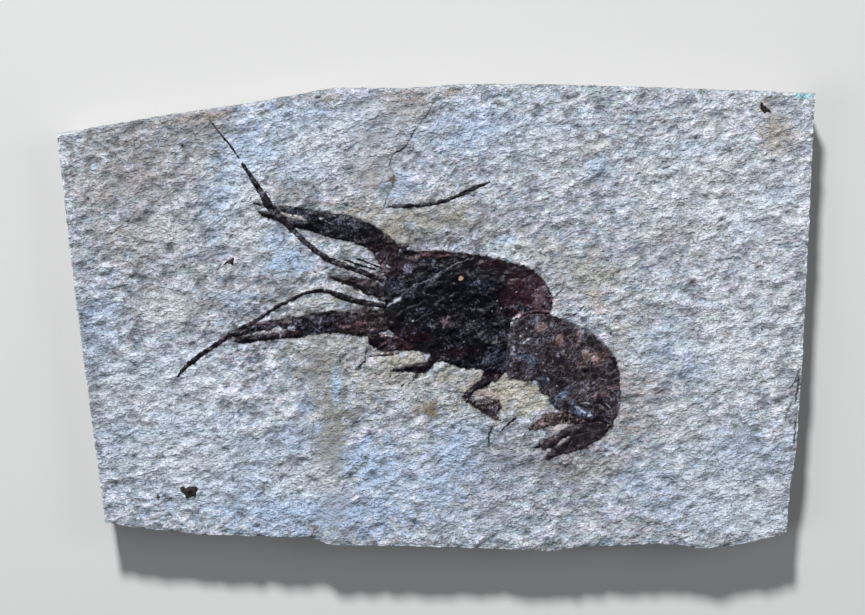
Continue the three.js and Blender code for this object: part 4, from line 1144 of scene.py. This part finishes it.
def cutOut(name):  # the film seen from above: its points, its cells and the cells' edges along its border
    step = filmLooks[name]["step"]
    low, high = outlines[name].min(0) - cutMargin, outlines[name].max(0) + cutMargin
    gx, gy = np.meshgrid(*[np.arange(start, end + step, step) for start, end in zip(low, high)])
    edge = filmEdge(name, gx, gy)[0]
    within = edge < 0
    numbers, plan, faces, rim = {}, [], [], []

    def corner(j, i):
        if (j, i) not in numbers:
            numbers[(j, i)] = len(plan)
            plan.append((gx[j, i], gy[j, i]))
        return numbers[(j, i)]

    def crossing(*ends):
        here, there = key = tuple(sorted(ends))
        if key not in numbers:
            t = np.clip(edge[here] / (edge[here] - edge[there]), *cutRange)
            numbers[key] = len(plan)
            plan.append([g[here] + t * (g[there] - g[here]) for g in (gx, gy)])
        return numbers[key]

    for j, i in zip(*np.nonzero(within[:-1, :-1] | within[1:, :-1] | within[:-1, 1:] | within[1:, 1:])):
        j, i = int(j), int(i)
        walk = [(j, i), (j, i + 1), (j + 1, i + 1), (j + 1, i)]
        polygon, leaving = [], []
        for here, there in zip(walk, walk[1:] + walk[:1]):
            if within[here]:
                polygon.append(corner(*here))
            if within[here] != within[there]:
                polygon.append(crossing(here, there))
                leaving.append((polygon[-1], within[here]))
        faces.append(polygon)
        for k, (cut, out) in enumerate(leaving):
            if out:
                rim.append((cut, leaving[(k + 1) % len(leaving)][0]))
    return np.array(plan), faces, rim


def buildFilm(name):
    look = filmLooks[name]
    plan, faces, rim = cutOut(name)
    x, y = plan.T
    edge, close = filmEdge(name, x, y)
    depth = -edge
    if joins(name):
        depth = depthInShell(x, y) * smooth(*edgeFade, -edge + jointKeep * close)
    base = faceHeight + ground(x, y, np.zeros(len(x)))
    calm = calmShare * smooth(0, calmDepth, depth) * joins(name)
    base -= calm * rockRelief["lump"] * lookUp(lumpField, x, y)
    crumple = filmCrumple * lookUp(wobbleField, x + 50, y) + lookUp(raggedField, x, y + 50)
    top = base + filmProfile(look, depth) + look["grain"] * crumple * smooth(0, crumpleStart, depth)
    top -= jointGroove["depth"] * close * np.exp(-(edge / jointGroove["width"]) ** 2)
    foot = base - filmSink
    for under in crossings.get(name, ()):
        away = signedDistance(x, y, outlines[under])
        height = filmProfile(filmLooks[under], depthInShell(x, y) * (away < 0))
        over = crossingThin * filmProfile(look, depth) + height * (1 - smooth(*crossingRamp, away))
        top = np.maximum(top, base + over)
        foot = np.where(away < crossingGap, np.maximum(foot, base + height - crossingBite), foot)
    seams = seamPale[0] * paintLines(x, y, paleSeams, breakUp=0.6)
    top += seamRelief * seams

    masks = {mark: paintSpots(x, y, spots, feather=0.45, wobble=0.35)
        for mark, spots in shellMarks.items()}
    for mark, fade in jetFades.items():
        masks[mark] = np.maximum(masks[mark], look[mark]) * (1 - fade * masks["jet"])
    for mark, lines, breakUp in (("chalkAndGlint", brightStrokes, 0.8), ("chalkAndGlint", palePatches, 0.0),
            ("blushAndGlint", pinkSeams, 0.6)):
        masks[mark] = np.maximum(masks[mark], paintLines(x, y, lines, breakUp))
    masks["chalkAndGlint"] = np.maximum(masks["chalkAndGlint"], seamPale[1] * seams)
    count = len(plan)
    points = np.r_[np.c_[plan, top], np.c_[plan, foot]]
    faces += [[count + v for v in reversed(polygon)] for polygon in faces]
    faces += [[a, a + count, b + count, b] for a, b in rim]
    masks = {mark: np.r_[values, values] for mark, values in masks.items()}
    addPiece(name + "_film", points, faces, finishes[slots[name]], [name], masks)
    return len(faces)


print("films built, faces:", sum(buildFilm(name) for name in filmLooks))

# Floor, light and camera

studio = {
    "floor": "#d4d5d7",
    "floorHalf": 3,
    "floorRoughness": 0.9,
    "floorIor": 1.45,
    "lamps": {  # degrees from +X, degrees over the plate, size in m, power in W
        "key_softbox": (103, 36, 0.2, 30.0),
        "left_softbox": (193, 42, 0.9, 3.4),
        "right_softbox": (13, 42, 0.9, 3.4),
    },
    "distance": 1.5,
    "light": "#fffefb",
    "sky": "#e6edf6",
    "skyStrength": 0.08,
    "lens": 85.0,
    "viewWidth": 205.16,  # mm of the face across the picture
    "viewCentre": (-0.84, 2.36),
}


def buildStudio():
    floorMesh = bpy.data.meshes.new("studio_floor")
    far = studio["floorHalf"]
    floorMesh.from_pydata([(-far, -far, 0), (far, -far, 0), (far, far, 0), (-far, far, 0)], [], [range(4)])
    floor = bpy.data.objects.new("studio_floor", floorMesh)
    bpy.context.scene.collection.objects.link(floor)
    paper, _, shader, _ = startMaterial("matt studio paper", studio["floorRoughness"], studio["floorIor"])
    shader.inputs["Base Color"].default_value = hexToLinear(studio["floor"])
    floorMesh.materials.append(paper)

    for name, (azimuth, height, size, power) in studio["lamps"].items():
        lamp = bpy.data.lights.new(name, "AREA")
        lamp.shape = "DISK"
        lamp.size = size
        lamp.energy = power
        lamp.color = hexToLinear(studio["light"])[:3]
        softbox = bpy.data.objects.new(name, lamp)
        azimuth, height = math.radians(azimuth), math.radians(height)
        flat = math.cos(height)
        way = (math.cos(azimuth) * flat, math.sin(azimuth) * flat, math.sin(height))
        softbox.location = [studio["distance"] * w for w in way]
        softbox.rotation_euler = (math.pi / 2 - height, 0, azimuth + math.pi / 2)
        bpy.context.scene.collection.objects.link(softbox)

    world = bpy.data.worlds.new("studio")
    world.use_nodes = True
    background = world.node_tree.nodes["Background"]
    background.inputs["Color"].default_value = hexToLinear(studio["sky"])
    background.inputs["Strength"].default_value = studio["skyStrength"]
    bpy.context.scene.world = world
    bpy.context.scene.view_settings.view_transform = "Standard"

    view = bpy.data.cameras.new("overhead")
    view.lens = studio["lens"]
    distance = studio["viewWidth"] * studio["lens"] / view.sensor_width
    camera = bpy.data.objects.new("overhead", view)
    camera.location = [part * mm for part in (*studio["viewCentre"], faceHeight + distance)]
    view.clip_start = 0.01
    bpy.context.scene.collection.objects.link(camera)
    bpy.context.scene.camera = camera


buildStudio()
print("studio built")
